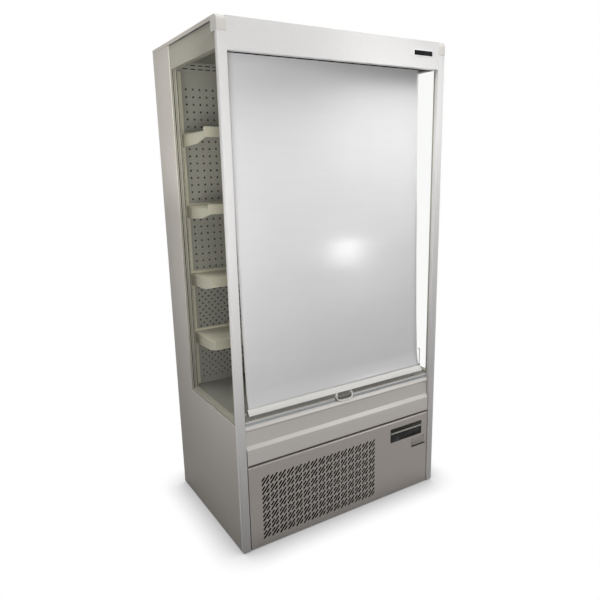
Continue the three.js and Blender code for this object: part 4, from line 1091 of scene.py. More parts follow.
@dataclass
class Canopy:
    """The header with its blank badge, the ceiling and the lamp.

    Args:
        shop: the workshop.
    """

    shop: Workshop

    def build(self) -> None:
        """Builds the canopy."""
        self.shop.eased("canopy_header", WHITE_PAINT, 0.9, 3)
        self.shop.eased("canopy_ceiling", SHADED_LINER_PAINT, 0.3)
        self.shop.eased("canopy_lamp", LAMP_DIFFUSER, 0.5)
        self.badge()
        self.draught_seal()

    def draught_seal(self) -> None:
        """A brush seal behind the header's foot, as one shaped strip, made near-black so that it paints the shade
        line under the header.
        """
        bm = bmesh.new()
        section = [(23.6, 1844.3), (45.0, 1844.3), (46.5, 1845.4), (40.0, 1847.4), (26.0, 1848.6), (23.6, 1848.6)]
        section_bar(bm, section, (-FITTED + 1, FITTED - 1))
        self.shop.piece("header_brush", bm, PAINTED_SHADE_BLACK)

    def badge(self) -> None:
        """A bare badge: a pale rim round a dark face."""
        bm = bmesh.new()
        block(bm, (333.5, 434.5), (1.2, 2.2), (1888.5, 1912.5), 0.45)
        self.shop.piece("badge_rim", bm, BLIND_WHITE)
        bm = bmesh.new()
        block(bm, (336.5, 431.5), (0.9, 1.6), (1891.5, 1909.5), 0.3)
        self.shop.piece("badge_face", bm, CONTROL_BLACK)


@dataclass
class NightBlind:
    """The roller, the cloth, the bottom bar with its bail, and the stay hook.

    Args:
        shop: the workshop.
        half_width: half the cloth's width.
        roller_depth: depth of the roller's axis.
        roller_height: height of the roller's axis.
        travel: how far the bar is raised, in metres; not used.
        rows: faces down the cloth.
        columns: faces across the cloth.
        cloth_end: (depth, height) of the cloth's foot, where it enters the bar.
        bail_pivot: (depth, height) of the bail's ends.
        bail_tilt: how far the bail leans back at its foot, in degrees.
        bail_wire: radius of its wire.
    """

    shop: Workshop
    half_width: float = 433.0
    roller_depth: float = 57.5
    roller_height: float = 1893.0
    travel: float = 1.24
    rows: int = 110
    columns: int = 60
    cloth_end: Span = (36.4, 579.7)
    bail_pivot: Span = (20.5, 553.0)
    bail_tilt: float = 25.26
    bail_wire: float = 3.0

    def build(self) -> None:
        """Builds the blind."""
        self.roller()
        self.cloth()
        self.shop.eased("blind_bottom_bar", BLIND_WHITE, 0.9, 3, 20.0)
        self.bar_ends()
        self.handle()
        self.hook()
        for side in Side:
            self.shop.eased(f"blind_bracket_{side.word}", GALVANISED, 0.4)

    def roller(self) -> None:
        """The spring tube with the wound cloth, and its end plugs."""
        centre = at(0, self.roller_depth, self.roller_height)
        bm = bmesh.new()
        lathe(bm, [(18.0, -442), (21.4, -442), (22.4, -441.2), (22.4, 441.2), (21.4, 442), (18.0, 442)], centre,
              ACROSS, 48)
        wound = self.shop.piece("blind_roller_wound", bm, BLIND_CLOTH, "blind_roller", ("blind_roller",))
        self.plain_uv(wound)
        bm = bmesh.new()
        lathe(bm, [(5.4, -427), (5.4, -456), (16.2, -456), (17.9, -454.6), (17.9, 454.6), (16.2, 456), (5.4, 456),
                   (5.4, 427), (0, 427), (0, -427), (5.4, -427)], centre, ACROSS, 40)
        self.shop.piece("blind_roller_tube", bm, GALVANISED, "blind_roller")

    @staticmethod
    def plain_uv(piece: bpy.types.Object) -> None:
        """Lays cloth coordinates in metres on the wound cloth, across and round."""
        layer = piece.data.uv_layers.new(name="cloth")
        for loop in piece.data.loops:
            spot = piece.data.vertices[loop.vertex_index].co
            layer.data[loop.index].uv = (spot.x, spot.z)

    def curve(self, share: float) -> Span:
        """Where the cloth hangs at a share of its drop.

        Args:
            share: 0 at the roller and 1 at the bar.

        Returns:
            Its (depth, height).
        """
        upper = ((80.8, self.roller_height), (73.8, 1241.3), (48.4, 639.3))
        lower = (upper[-1], (42.4, 599.3), self.cloth_end)
        split = 0.95
        part, local = (upper, share / split) if share < split else (lower, (share - split) / (1 - split))
        keep = 1 - local
        depth, height = (keep * keep * a + 2 * keep * local * b + local * local * c for a, b, c in zip(*part))
        return depth, height

    def cloth(self) -> None:
        """The hanging cloth: slack ripples, and side hems that curl a little."""
        bm = bmesh.new()
        bmesh.ops.create_grid(bm, x_segments=self.columns, y_segments=self.rows, size=0.5)
        layer = bm.loops.layers.uv.new("cloth")
        for face in bm.faces:
            for loop in face.loops:
                spot = loop.vert.co
                loop[layer].uv = ((spot.x + 0.5) * 2 * self.half_width * MM, (0.5 - spot.y) * 1315 * MM)
        for vert in bm.verts:
            side, share = vert.co.x * 2, 0.5 - vert.co.y
            depth, height = self.curve(share)
            hold = math.sin(math.pi * share)
            wave = 0.4 * math.sin(share * 31 + 1.4 * side) + 0.12 * math.sin(share * 67 - 2.2 * side + 1.0)
            sag = 1.3 * math.sin(share * 9 + 0.6) * (0.4 + 0.6 * share)
            curl = 2.2 * abs(side) ** 14
            depth += hold * (wave * (0.35 + share) + sag + curl)
            vert.co = at(side * self.half_width, depth, height)
        bmesh.ops.reverse_faces(bm, faces=bm.faces[:])
        cloth = self.shop.piece("blind_cloth_sheet", bm, BLIND_CLOTH, "cabinet", ("blind_fabric",), 80.0, False)
        body = cloth.modifiers.new("cloth_thickness", "SOLIDIFY")
        body.thickness = 0.5 * MM
        body.offset = 0.0
        slide = Vector((0, 0.042, 0.9991176)).normalized()
        top = at(0, 80.8, self.roller_height)
        drop = abs((at(0, *self.cloth_end) - top).dot(slide))
        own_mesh(cloth)

    def bar_ends(self) -> None:
        """Dark end plugs of the bar."""
        bm = bmesh.new()
        for side in Side:
            corners = [(20.4, 559.8), (32.4, 580.6), (38.6, 577.0), (26.6, 556.2)]
            low, high = side.span(439.6, 441.2)
            section_bar(bm, corners, (low, high))
        soften(bm, bm.edges[:], 0.3)
        self.shop.piece("blind_bar_ends", bm, FAN_PLASTIC, "blind")

    def handle(self) -> None:
        """The bail, bent from one wire, leaning on the riser's nose."""
        tilt = math.radians(self.bail_tilt)
        depth, height = self.bail_pivot

        def point(across: float, drop: float) -> Vector:
            """A point of the bail, from its distance below the pivot."""
            return at(across, depth - drop * math.sin(tilt), height - drop * math.cos(tilt))

        bm = bmesh.new()
        half = [point(33.7, 0), point(41, 0), point(41, 12), point(34, 25), point(17, 29)]
        mirror = Matrix.Scale(-1, 4, ACROSS)
        path = rounded_path([*[mirror @ spot for spot in half], *half[::-1]], 3.6, 4)
        tube(bm, path, self.bail_wire, 14)
        self.shop.piece("blind_handle_bail", bm, BLIND_WHITE, "blind_handle", ("blind_handle",))

    def hook(self) -> None:
        """The stay hook: a bent wire in a small clip on the bar."""
        bm = bmesh.new()
        corners = [at(437.0, 35.9, 581.1), at(437.0, 35.9, 661.1), at(428.0, 35.9, 661.1)]
        tube(bm, rounded_path(corners, 4.5, 6), 1.5, 12)
        block(bm, (433.8, 439.6), (33.6, 38.2), (579.7, 587.3), 0.6)
        self.shop.piece("blind_stay_hook_wire", bm, HOOK_WIRE, "blind", ("blind_stay_hook",))


@dataclass
class Interior:
    """The perforated back, the shelving, the deck and the return air grille.

    Args:
        shop: the workshop.
        panel_depth: depth of the back panel's face.
        sheet: thickness of its sheet.
        cell: half the pitch of its holes.
        hole: radius of its holes.
        tray_heights: top of each shelf tray.
    """

    shop: Workshop
    panel_depth: float = 505.0
    sheet: float = 1.0
    cell: float = 14.5
    hole: float = 4.4
    tray_heights: tuple[float, ...] = (788.0, 1043.6, 1327.6, 1611.6)

    def build(self) -> None:
        """Builds the interior."""
        self.perforated_back()
        self.return_grille()
        self.shop.eased("deck_pan", SHADED_LINER_PAINT, 0.5)
        for side in Side:
            self.shop.eased(f"shelf_standard_{side.word}", SHELF_PAINT, 0.25)
        for index, height in enumerate(self.tray_heights):
            number = index + 1
            self.shop.eased(f"shelf_{number}_tray", SHELF_PAINT, 0.5)
            for side in Side:
                self.shop.eased(f"shelf_{number}_bracket_{side.word}", SHELF_PAINT, 0.4)
            self.price_rail(number, height)

    def cell_ring(self, bm: bmesh.types.BMesh, across: float, capped: bool) -> None:
        """Adds one square cell of the sheet, with or without its hole.

        Args:
            bm: the row it joins, flat in the panel's face.
            across: its centre.
            capped: whether the cell is plain.
        """
        half = self.cell / 2
        turn = Matrix.Rotation(math.pi / 2, 4, "X")
        centre = Vector((across * MM, 0, 0))
        made = bmesh.ops.create_circle(bm, cap_ends=capped, segments=8, radius=self.hole * MM,
                                       matrix=Matrix.Translation(centre) @ turn)
        rim = made["verts"]
        if not capped:
            grown = bmesh.ops.extrude_edge_only(bm, edges=edges_of(rim))
            rim = verts_of(grown)
        for vert in rim:
            out = vert.co - centre
            vert.co = centre + out * (half * MM / max(abs(out.x), abs(out.z)))

    def hole_row(self, holed: Sequence[bool], columns: int) -> bpy.types.Mesh:
        """One row of cells as a mesh.

        Args:
            holed: which cells of each pair have a hole.
            columns: how many cells.

        Returns:
            The row, starting with its first cell's centre at 0.
        """
        bm = bmesh.new()
        for index, has_hole in enumerate(holed):
            self.cell_ring(bm, index * self.cell, not has_hole)
        repeat(bm, everything(bm), ACROSS * 2 * self.cell * MM, columns // 2 - 1)
        self.cell_ring(bm, (columns - 1) * self.cell, not holed[0])
        mesh = bpy.data.meshes.new("hole_row")
        bm.to_mesh(mesh)
        bm.free()
        return mesh

    def perforated_back(self) -> None:
        """The back duct panel: round holes, closer below, and the air slots along its top."""
        left, foot, columns, rows = -419.0, 570.0, 59, 85
        kinds = {"open": self.hole_row((True, False), columns), "offset": self.hole_row((False, True), columns),
                 "plain": self.hole_row((False, False), columns)}
        bm = bmesh.new()
        for row in range(rows):
            height = foot + row * self.cell
            kind = "open" if row % 2 == 0 else "offset" if height < 1000.0 else "plain"
            first = len(bm.verts)
            bm.from_mesh(kinds[kind])
            bm.verts.ensure_lookup_table()
            bmesh.ops.translate(bm, vec=at(left, self.panel_depth, height), verts=bm.verts[first:])
        for mesh in kinds.values():
            bpy.data.meshes.remove(mesh)
        low, high = left - self.cell / 2, left + (columns - 0.5) * self.cell
        top = foot + (rows - 0.5) * self.cell
        self.slot_cells(bm, -416.0, 32.0, 26, (11.0, 2.0), (1865.7, 1879.7), self.panel_depth)
        bmesh.ops.remove_doubles(bm, verts=bm.verts[:], dist=1e-6)
        bmesh.ops.recalc_face_normals(bm, faces=bm.faces[:])
        self.face_front(bm)
        bmesh.ops.solidify(bm, geom=bm.faces[:], thickness=self.sheet * MM)
        depth = (self.panel_depth, self.panel_depth + self.sheet)
        for across, height in (((-FITTED, low), (538.3, top)), ((high, FITTED), (538.3, top)),
                               ((low, high), (538.3, foot - self.cell / 2)), ((-FITTED, FITTED), (top, 1858.7)),
                               ((-FITTED, -432.0), (1858.7, 1886.7)), ((432.0, FITTED), (1858.7, 1886.7)),
                               ((-FITTED, FITTED), (1886.7, 1889.7))):
            block(bm, across, depth, height, 0.0)
        self.shop.piece("back_duct_panel_perforated", bm, SHADED_LINER_PAINT, replaces=("back_duct_panel",))
        bm = bmesh.new()
        block(bm, (-FITTED, FITTED), (self.panel_depth - 1.2, self.panel_depth), (1844.0, 1848.5), 0.5)
        self.shop.piece("back_duct_panel_joint", bm, SHADED_LINER_PAINT)
        # A near-black sheet behind the holes that paints the shade inside the duct.
        bm = bmesh.new()
        block(bm, (-464.0, 464.0), (self.panel_depth + 9.0, self.panel_depth + 12.0), (542.0, 1889.0), 0.8)
        self.shop.piece("duct_baffle_felt", bm, PAINTED_SHADE_BLACK)

    @staticmethod
    def face_front(bm: bmesh.types.BMesh) -> None:
        """Turns a flat sheet's faces so that they face the front."""
        back = [face for face in bm.faces if face.normal.y > 0]
        if back:
            bmesh.ops.reverse_faces(bm, faces=back)

    @staticmethod
    def slot_cells(bm: bmesh.types.BMesh, first: float, pitch: float, copies: int, half_slot: Span,
                   heights: Sequence[float], depth: float) -> None:
        """Adds rows of sheet cells, each with one square-ended slot.

        Args:
            bm: the sheet that they join.
            first: centre of the first cell.
            pitch: width of a cell.
            copies: how many more cells follow in a row.
            half_slot: half the slot's width and height.
            heights: the rows' centres, evenly spaced.
            depth: depth of the sheet.
        """
        half_row = (heights[1] - heights[0]) / 2
        for height in heights:
            cell = slotted_cell(bm, at(first, depth, height), Vector((half_slot[0], 0, half_slot[1])),
                                Vector((pitch / 2, 0, half_row)))
            repeat(bm, cell, ACROSS * pitch * MM, copies)

    def return_grille(self) -> None:
        """The return air grille: a folded front with a hand notch, and a deck of fine slots."""
        bm = bmesh.new()
        top, pitch, half_slot, front, back, border, count = 538.0, 8.0, 2.5, 28.4, 92.0, 2.6, 116
        half_length = (back - front) / 2
        cell = slotted_cell(bm, at((1 - count) / 2 * pitch, front + half_length, top),
                            Vector((half_slot, half_length, 0)), Vector((pitch / 2, half_length + border, 0)))
        repeat(bm, cell, ACROSS * pitch * MM, count - 1)
        bmesh.ops.remove_doubles(bm, verts=bm.verts[:], dist=1e-6)
        for face in bm.faces:
            face.normal_update()
        bmesh.ops.reverse_faces(bm, faces=[face for face in bm.faces if face.normal.z < 0])
        bmesh.ops.solidify(bm, geom=bm.faces[:], thickness=self.sheet * MM)
        for across in ((-FITTED, -464.0), (464.0, FITTED)):
            block(bm, across, (front - border, back + border), (top - 2.0, top), 0.0)
        block(bm, (-FITTED, FITTED), (back + border, 98.3), (top - 2.0, top), 0.0)
        block(bm, (-FITTED, FITTED), (96.3, 98.3), (528.0, top - 2.0), 0.0)
        lip = [(24.3, 525.0), (25.8, 525.0), (25.8, top), (24.3, top - 1.0)]
        for side in Side:
            section_bar(bm, lip, side.span(45.0, FITTED))
        self.shop.piece("return_air_grille_slotted", bm, GRILLE_PAINT, replaces=("return_air_grille",))

    def price_rail(self, number: int, height: float) -> None:
        """A price rail along a shelf's front lip.

        Args:
            number: the shelf's number from below.
            height: top of its tray.
        """
        front = 252.4
        bm = bmesh.new()
        section = [(front - 0.3, height + 15), (front - 3.2, height + 15), (front - 3.2, height + 12.4),
                   (front - 1.5, height + 12), (front - 1.5, height - 19.6), (front - 3.2, height - 20),
                   (front - 3.2, height - 23), (front - 0.3, height - 23)]
        section_bar(bm, section, (-456.0, 456.0))
        self.shop.piece(f"shelf_{number}_price_rail", bm, SHELF_PAINT)


@dataclass
class Front:
    """The riser with its clear strip, the service panel, the controller and the bare plates.

    Args:
        shop: the workshop.
        panel_face: depth of the service panel's face.
        panel_back: depth of its folds' edges.
        panel_sheet: thickness of its sheet.
        panel_height: span of its height.
        half_width: half its width and the riser's.
        slot_origin: the slots' lower left corner, across and up.
        columns: cells of slots across.
        rows: cells of slots upwards.
        cell_width: width of a cell.
        cell_height: height of a cell.
        slot_width: width of every slot.
        long_slot: length of the middle slot of a cell.
        short_slot: length of the slots beside it.
        short_shift: how far those are from the middle.
        short_bearing: which way they are from it, in degrees.
        slot_slant: slant of the slots in degrees.
    """

    shop: Workshop
    panel_face: float = 2.0
    panel_back: float = 17.0
    panel_sheet: float = 0.7
    panel_height: Span = (5.0, 357.5)
    half_width: float = 463.0
    slot_origin: Span = (-410.0, 32.5)
    columns: int = 15
    rows: int = 7
    cell_width: float = 37.7
    cell_height: float = 39.0
    slot_width: float = 7.7
    long_slot: float = 51.2
    short_slot: float = 21.7
    short_shift: float = 12.0
    short_bearing: float = 141.8
    slot_slant: float = 49.4

    def build(self) -> None:
        """Builds the front."""
        self.riser()
        self.service_panel()
        self.shop.eased("control_unit", CONTROL_BLACK, 0.4)
        self.keys()
        self.controller_face()
        self.clear_strip()
        self.plates()

    def riser(self) -> None:
        """The formed riser: a bevelled nose, a recessed face and a chamfered foot."""
        bm = bmesh.new()
        half = self.half_width
        section = ((23.7, 525.0), (13.8, 525.0), (5.8, 511.0), (10.9, 503.5), (10.9, 445.4), (2.3, 430.3),
                   (2.3, 366.2), (23.7, 366.2))
        path = rounded_path([at(-half, *spot) for spot in section], 2.4, 4)
        folded_bar(bm, path, ACROSS * 2 * half * MM, 1.2)
        for side in Side:
            block(bm, side.span(half - 1, half), (12.4, 23.7), (367.4, 523.6), 0.0)
        self.shop.piece("front_riser_formed", bm, SATIN_STEEL, replaces=("front_riser",), smooth=50.0)

    def service_panel(self) -> None:
        """The folded steel panel with its slanted slots, and a near-black pad behind them that paints the shade
        seen through the slots.
        """
        (low, high), half, face, back = self.panel_height, self.half_width, self.panel_face, self.panel_back
        holes = [frame_of((247.0, 424.0), (263.0, 321.0))]
        turn, aside = math.radians(self.slot_slant), math.radians(self.short_bearing)
        shift = Vector((math.cos(aside), math.sin(aside))) * self.short_shift
        for column in range(self.columns):
            for row in range(self.rows):
                middle = Vector(self.slot_origin) + Vector(((column + 0.5) * self.cell_width,
                                                            (row + 0.5) * self.cell_height))
                holes.append(slot_ring(*middle, self.long_slot, self.slot_width, turn))
                holes.extend(slot_ring(*spot, self.short_slot, self.slot_width, turn)
                             for spot in (middle + shift, middle - shift))
        bm = bmesh.new()
        pierced_sheet(bm, frame_of((-half + 6, half - 6), (low + 6, high - 8)), holes, face, self.panel_sheet)
        self.shop.piece("service_panel_face", bm, SHADED_PANEL_STEEL, "service_panel", ("service_panel",), 20.0)
        bm = bmesh.new()
        for outer, inner, lean in ((high, high - 8, -5.5), (low, low + 6, 2.0)):
            line = [at(-half, face, inner), at(-half, face, outer + lean), at(-half, face + abs(lean) / 2, outer),
                    at(-half, back, outer)]
            folded_bar(bm, rounded_path(line, 1.1, 3), ACROSS * 2 * half * MM, self.panel_sheet)
        for side in Side:
            edge = side.value * half
            line = [at(edge - side.value * 6, face, low + 6), at(edge, face, low + 6), at(edge, back, low + 6)]
            folded_bar(bm, rounded_path(line, 1.6, 3), UP * (high - low - 14) * MM, self.panel_sheet)
        self.shop.piece("service_panel_folds", bm, SHADED_PANEL_STEEL, "service_panel", smooth=40.0)
        # A near-black pad behind the slots that paints the shade seen through them.
        bm = bmesh.new()
        block(bm, (-420.0, 166.0), (face + 5.0, face + 9.0), (24.0, 318.0), 1.0)
        self.shop.piece("grille_filter_pad", bm, PAINTED_SHADE_BLACK, "service_panel")

    def keys(self) -> None:
        """The controller's keys, each a domed button."""
        for number, across in enumerate((406.0, 388.0, 370.0), start=1):
            bm = bmesh.new()
            profile = [(0, 3.4), (4, 3.4), (4, 0.6), (3.5, 0.1), (2.4, 0.0), (1.0, 0.14), (0, 0.16)]
            lathe(bm, profile, at(across, 0.1, 278.0), BACKWARDS, 28)
            self.shop.piece(f"control_key_{number}_button", bm, KEY_RUBBER, f"control_key_{number}",
                            (f"control_key_{number}",))

    def controller_face(self) -> None:
        """The bands of the controller's face: a dark olive window that paints the reflection of a greenish room, a
        pale line that paints the highlight on its edge, and the dark display window.
        """
        parts = (("upper_window", (246.5, 424.5), (307.5, 321.5), CONTROL_REFLECTION_OLIVE),
                 ("pale_divider", (245.0, 426.0), (298.6, 305.4), CONTROL_HIGHLIGHT),
                 ("display_window", (248.0, 292.0), (264.5, 290.0), CONTROL_GLOSS))
        for name, across, height, finish in parts:
            bm = bmesh.new()
            block(bm, across, (0.25, 0.7), height, 0.15)
            self.shop.piece(f"control_{name}", bm, finish, self.shop.bodies["control_unit"])

    def clear_strip(self) -> None:
        """The clear upstand on the riser, left open for the hand at the bail, with a near-white lip that paints the
        highlight along its top edge.
        """
        bm = bmesh.new()
        for side in Side:
            block(bm, side.span(46.0, 462.5), (15.0, 18.0), (525.1, 536.2), 0.5)
        self.shop.piece("riser_clear_strip", bm, CLEAR_STRIP)
        # A near-white lip that paints the highlight along the clear strip's top edge.
        bm = bmesh.new()
        for side in Side:
            block(bm, side.span(46.2, 462.3), (14.8, 18.2), (536.2, 537.6), 0.4)
        self.shop.piece("riser_clear_strip_lip", bm, BLIND_WHITE)

    def plates(self) -> None:
        """A bare pale plate with its indicator dots, and a dark strip under it."""
        body = "service_panel"
        bm = bmesh.new()
        block(bm, (367.0, 446.0), (1.6, 2.1), (215.0, 249.0), 0.2)
        self.shop.piece("bare_plate", bm, PLATE_PALE, body)
        bm = bmesh.new()
        for across, height, radius in ((373.0, 240.5, 2.6), (373.0, 224.0, 2.6), (440.0, 243.0, 2.6),
                                       (398.0, 222.0, 1.8), (412.0, 225.0, 1.8), (392.0, 242.0, 1.3),
                                       (402.0, 242.0, 1.3), (412.0, 242.0, 1.3), (422.0, 242.0, 1.3)):
            lathe(bm, [(0, -0.3), (radius, -0.3), (radius, 0.25), (radius - 0.5, 0.4), (0, 0.45)],
                  at(across, 1.6, height), -BACKWARDS, 14)
        self.shop.piece("indicator_dots", bm, CONTROL_BLACK, body)
        bm = bmesh.new()
        block(bm, (369.0, 451.0), (1.5, 2.1), (202.5, 211.0), 0.2)
        self.shop.piece("dark_strip", bm, CONTROL_BLACK, body)


@dataclass
class CoilUnit:
    """A finned coil with its shroud, motor, guard and fan.

    Args:
        shop: the workshop.
        node: name of the coil's CAD node, whose fan is named after it.
        centre: its middle across.
        width: its width.
        front: depth of its front.
        depth: how deep the coil is.
        foot: height of its foot.
        height: its height.
        fan_radius: radius of its fan.
        fin_pitch: how far apart its fins are.
        tube_pitch: how far apart its tubes are.
        tube_rows: how many rows of tubes it has from front to back.
        fins: finish of its fins.
    """

    shop: Workshop
    node: str
    centre: float
    width: float
    front: float
    depth: float
    foot: float
    height: float
    fan_radius: float
    fin_pitch: float
    tube_pitch: float
    tube_rows: int
    fins: Finish

    @property
    def back(self) -> float:
        """Depth of its back."""
        return self.front + self.depth

    @property
    def low(self) -> float:
        """Its left end."""
        return self.centre - self.width / 2

    @property
    def high(self) -> float:
        """Its right end."""
        return self.centre + self.width / 2

    @property
    def middle(self) -> float:
        """Height of its middle."""
        return self.foot + self.height / 2

    @property
    def axis(self) -> Vector:
        """Where the fan's axis meets its back, in metres."""
        return at(self.centre, self.back, self.middle)

    def build(self) -> None:
        """Builds the unit."""
        self.fin_stack()
        self.serpentine()
        self.shroud()
        self.motor()
        self.guard()
        self.fan()

    def fin_stack(self) -> None:
        """Thin fins between two flanged end plates."""
        bm = bmesh.new()
        first, last = self.low + 13.0, self.high - 13.0
        count = int((last - first) / self.fin_pitch)
        block(bm, (first, first + 0.35), (self.front + 1, self.back - 4),
              (self.foot + 3, self.foot + self.height - 3), 0.0)
        repeat(bm, everything(bm), ACROSS * ((last - first) / count) * MM, count - 1)
        self.shop.piece(f"{self.node}_fins", bm, self.fins, replaces=(self.node,))
        bm = bmesh.new()
        for edge, out in ((self.low + 11.0, 1), (self.high - 11.0, -1)):
            line = [at(edge + out * 9, self.front, self.foot), at(edge, self.front, self.foot),
                    at(edge, self.back - 3, self.foot), at(edge + out * 9, self.back - 3, self.foot)]
            folded_bar(bm, rounded_path(line, 1.5, 3), UP * self.height * MM, 1.0)
        self.shop.piece(f"{self.node}_end_plates", bm, GALVANISED)

    def serpentine(self) -> None:
        """Copper tubes that run back and forth through the fins, with their bends at the ends."""
        bm = bmesh.new()
        runs = int((self.height - 16) / self.tube_pitch)
        start = self.foot + (self.height - (runs - 1) * self.tube_pitch) / 2
        for row in range(self.tube_rows):
            depth = self.front + (row + 0.5) * (self.depth - 4) / self.tube_rows
            corners = []
            for run in range(runs):
                ends = (self.low + 3.0, self.high - 3.0)
                near, far = ends if (run + row) % 2 == 0 else ends[::-1]
                corners += [at(near, depth, start + run * self.tube_pitch),
                            at(far, depth, start + run * self.tube_pitch)]
            tube(bm, rounded_path(corners, min(self.tube_pitch * 0.48, 12.0), 4), 4.2, 8)
        self.shop.piece(f"{self.node}_tubes", bm, PIPE_COPPER)

    def shroud(self) -> None:
        """The sheet behind the coil, drawn in to a rolled mouth round the fan."""
        mouth = self.fan_radius + 5.0
        turns = [k * math.tau / 48 for k in range(48)]
        ring = [(self.centre + mouth * math.cos(turn), self.middle + mouth * math.sin(turn)) for turn in turns]
        bm = bmesh.new()
        pierced_sheet(bm, frame_of((self.low, self.high), (self.foot, self.foot + self.height)), [ring],
                      self.back - 2.0, 1.0)
        lathe(bm, [(mouth + 0.2, -2.0), (mouth + 3.0, -1.0), (mouth + 2.4, 3.0), (mouth + 1.2, 8.0),
                   (mouth, 8.0), (mouth, -2.0), (mouth + 0.2, -2.0)], self.axis, BACKWARDS, 48)
        self.shop.piece(f"{self.node}_shroud", bm, GALVANISED)

    def motor(self) -> None:
        """The fan motor: a ribbed can on a bent bracket, with its shaft."""
        small = self.fan_radius * 0.3
        reach = self.fan_radius + 10.0
        start = 28.0
        bm = bmesh.new()
        profile = [(0, start), (small * 0.4, start), (small * 0.5, start + 1.5), (small * 0.9, start + 3),
                   (small, start + 6)]
        groove = small * 0.94
        for rib in range(5):
            along = start + 8 + rib * 5.2
            profile += [(small, along), (groove, along + 0.8), (groove, along + 2.2), (small, along + 3)]
        lathe(bm, [*profile, (small, start + 35), (small * 0.8, start + 39.6), (0, start + 40)], self.axis,
              BACKWARDS, 32)
        lathe(bm, [(0, 10.0), (3, 10.0), (3, start), (0, start)], self.axis, BACKWARDS, 12)
        self.shop.piece(f"{self.node}_motor", bm, COMPRESSOR_ENAMEL)
        bm = bmesh.new()
        left, right, height = self.centre - reach - 1, self.centre + reach + 1, self.middle - 5.0
        line = [at(left, self.back - 1, height), at(left, self.back + 31, height),
                at(right, self.back + 31, height), at(right, self.back - 1, height)]
        folded_bar(bm, rounded_path(line, 4.0, 4), UP * 10 * MM, 2.0)
        self.shop.piece(f"{self.node}_motor_bracket", bm, GALVANISED)

    def guard(self) -> None:
        """Wire rings round the motor that keep fingers out of the fan."""
        bm = bmesh.new()
        along = 25.4
        rings = 5
        for ring in range(rings):
            radius = self.fan_radius * (0.42 + 0.6 * ring / (rings - 1))
            turned = [(radius + 0.9 * math.cos(k * math.tau / 6), along + 0.9 * math.sin(k * math.tau / 6))
                      for k in range(7)]
            lathe(bm, turned, self.axis, BACKWARDS, 40)
        self.shop.piece(f"{self.node}_guard", bm, HOOK_WIRE)

    def fan(self) -> None:
        """The fan: a hub with a domed nose and five cambered blades."""
        hub = self.fan_radius * 0.25
        body = f"{self.node}_fan"
        bm = bmesh.new()
        bmesh.ops.create_grid(bm, x_segments=9, y_segments=7, size=0.5)
        axis = self.axis
        for vert in bm.verts:
            out, chord = vert.co.x + 0.5, vert.co.y * 2
            radius = hub * 0.9 + (self.fan_radius * 0.985 - hub * 0.9) * out
            span = (0.30 + 0.16 * out) * (1 - 0.25 * max(out - 0.8, 0) * chord * chord * 5)
            angle = 0.16 * out * out + span * chord
            along = 14.0 + 6.6 * chord * (1.05 - 0.35 * out) - 1.6 * (1 - chord * chord)
            vert.co = axis + Vector((radius * math.cos(angle), along, radius * math.sin(angle))) * MM
        bmesh.ops.recalc_face_normals(bm, faces=bm.faces[:])
        bmesh.ops.solidify(bm, geom=bm.faces[:], thickness=1.2 * MM)
        bmesh.ops.spin(bm, geom=everything(bm), cent=axis, axis=BACKWARDS, angle=math.tau * 4 / 5, steps=4,
                       use_duplicate=True)
        lathe(bm, [(0, 5.2), (hub * 0.5, 5.4), (hub * 0.9, 7.0), (hub, 10.0), (hub, 22.6), (hub * 0.92, 23.0),
                   (hub * 0.86, 19.0), (4.4, 19.0), (4.4, 10.2), (0, 10.2)], self.axis, BACKWARDS, 32)
        self.shop.piece(f"{body}_moulded", bm, FAN_PLASTIC, body, (body,))


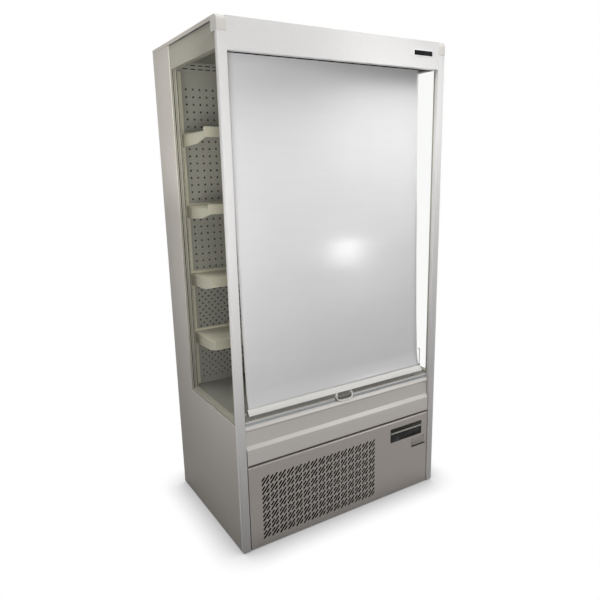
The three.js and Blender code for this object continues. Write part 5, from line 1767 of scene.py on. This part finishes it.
@dataclass
class Refrigeration:
    """The condensing unit and the evaporator.

    Args:
        shop: the workshop.
        pot_across: where the compressor stands across.
        pot_depth: depth of its axis.
    """

    shop: Workshop
    pot_across: float = -140.0
    pot_depth: float = 412.0

    def build(self) -> None:
        """Builds the refrigeration."""
        CoilUnit(self.shop, "condenser", -140.0, 540.0, 60.0, 50.0, 30.3, 288.0, 105.0, 3.2, 25.4, 2,
                 COIL_BLACK).build()
        CoilUnit(self.shop, "evaporator", 0.0, 760.0, 150.0, 120.0, 396.3, 118.0, 46.0, 4.4, 25.4, 4,
                 COIL_ALUMINIUM).build()
        self.compressor()
        self.pipes()
        self.shop.eased("drip_tray", FAN_PLASTIC, 1.2, 3)

    def compressor(self) -> None:
        """The hermetic pot with its welded seam, terminal cover, base plate and rubber feet."""
        foot = 30.3
        centre = at(self.pot_across, self.pot_depth, foot)
        bm = bmesh.new()
        lathe(bm, [(0, 3), (40, 3), (62, 8), (74, 20), (77, 40), (77, 92), (79, 93), (79, 99), (76, 100), (75, 132),
                   (69, 160), (54, 178), (32, 187), (0, 190)], centre, UP, 48)
        self.shop.piece("compressor_pot", bm, COMPRESSOR_ENAMEL, replaces=("compressor",), smooth=50.0)
        bm = bmesh.new()
        block(bm, (self.pot_across + 52, self.pot_across + 92), (self.pot_depth - 26, self.pot_depth + 26),
              (foot + 52, foot + 108), 5.0, 3)
        self.shop.piece("compressor_terminal_cover", bm, FAN_PLASTIC)
        bm = bmesh.new()
        block(bm, (self.pot_across - 93, self.pot_across + 93), (self.pot_depth - 46, self.pot_depth + 46),
              (foot + 0.2, foot + 4), 1.6, 2)
        self.shop.piece("compressor_base_plate", bm, GALVANISED)
        bm = bmesh.new()
        for across in (-82, 82):
            for depth in (-36, 36):
                lathe(bm, [(0, 0), (10, 0), (11, 1.5), (11, 6), (8, 8), (8, 11), (10, 12.5), (10, 15), (0, 16)],
                      at(self.pot_across + across, self.pot_depth + depth, foot), UP, 20)
        self.shop.piece("compressor_grommets", bm, FOOT_RUBBER)

    def pipes(self) -> None:
        """The copper lines between the pot, the condenser and the well above, and the filter drier."""
        x, f = self.pot_across, self.pot_depth
        bm = bmesh.new()
        runs = ((4.0, (40, f - 50, 120), (40, f - 92, 120), (210, f - 92, 120), (210, f - 92, 296),
                 (262, f - 92, 296), (262, 86, 296)),
                (4.0, (262, 86, 46), (300, 86, 46), (300, 250, 46), (300, 250, 90)),
                (3.0, (300, 250, 178), (300, 250, 366)),
                (6.0, (-20, f + 60, 150), (-20, f + 110, 150), (-20, f + 110, 300), (60, f + 110, 300),
                 (60, f + 110, 366)),
                (3.0, (-60, f, 190), (-60, f, 236)))
        for radius, *spots in runs:
            path = [at(x + across, depth, height) for across, depth, height in spots]
            tube(bm, rounded_path(path, 16.0, 5), radius, 12)
        self.shop.piece("refrigerant_lines", bm, PIPE_COPPER)
        bm = bmesh.new()
        lathe(bm, [(4, 88), (6, 90), (6, 96), (13, 104), (13, 164), (6, 172), (6, 178), (4, 180)],
              at(x + 300, 250, 0), UP, 24)
        self.shop.piece("filter_drier", bm, COIL_ALUMINIUM)


def corners(bounds: tuple[Vector, Vector]) -> list[list[float]]:
    """A box's two corners as plain lists."""
    return [[round(value, 6) for value in corner] for corner in bounds]


def main() -> None:
    """Loads the frame, builds each sub-assembly in order and measures the sizes before and after."""
    logging.basicConfig(level=logging.INFO, format="%(name)s %(message)s")
    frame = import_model()
    cad_box = corners(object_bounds())
    bpy.context.scene.view_settings.view_transform = "Standard"
    shop = Workshop(frame, FinishBook())
    Studio().build()
    for part in (Shell(shop), GlazedEnds(shop), Canopy(shop), NightBlind(shop), Interior(shop), Front(shop),
                 Refrigeration(shop)):
        part.build()
        LOG.info("%s built", type(part).__name__)
    bpy.context.view_layer.update()
    {"cad": cad_box, "visual": corners(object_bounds())}


if __name__ == "__main__":
    main()
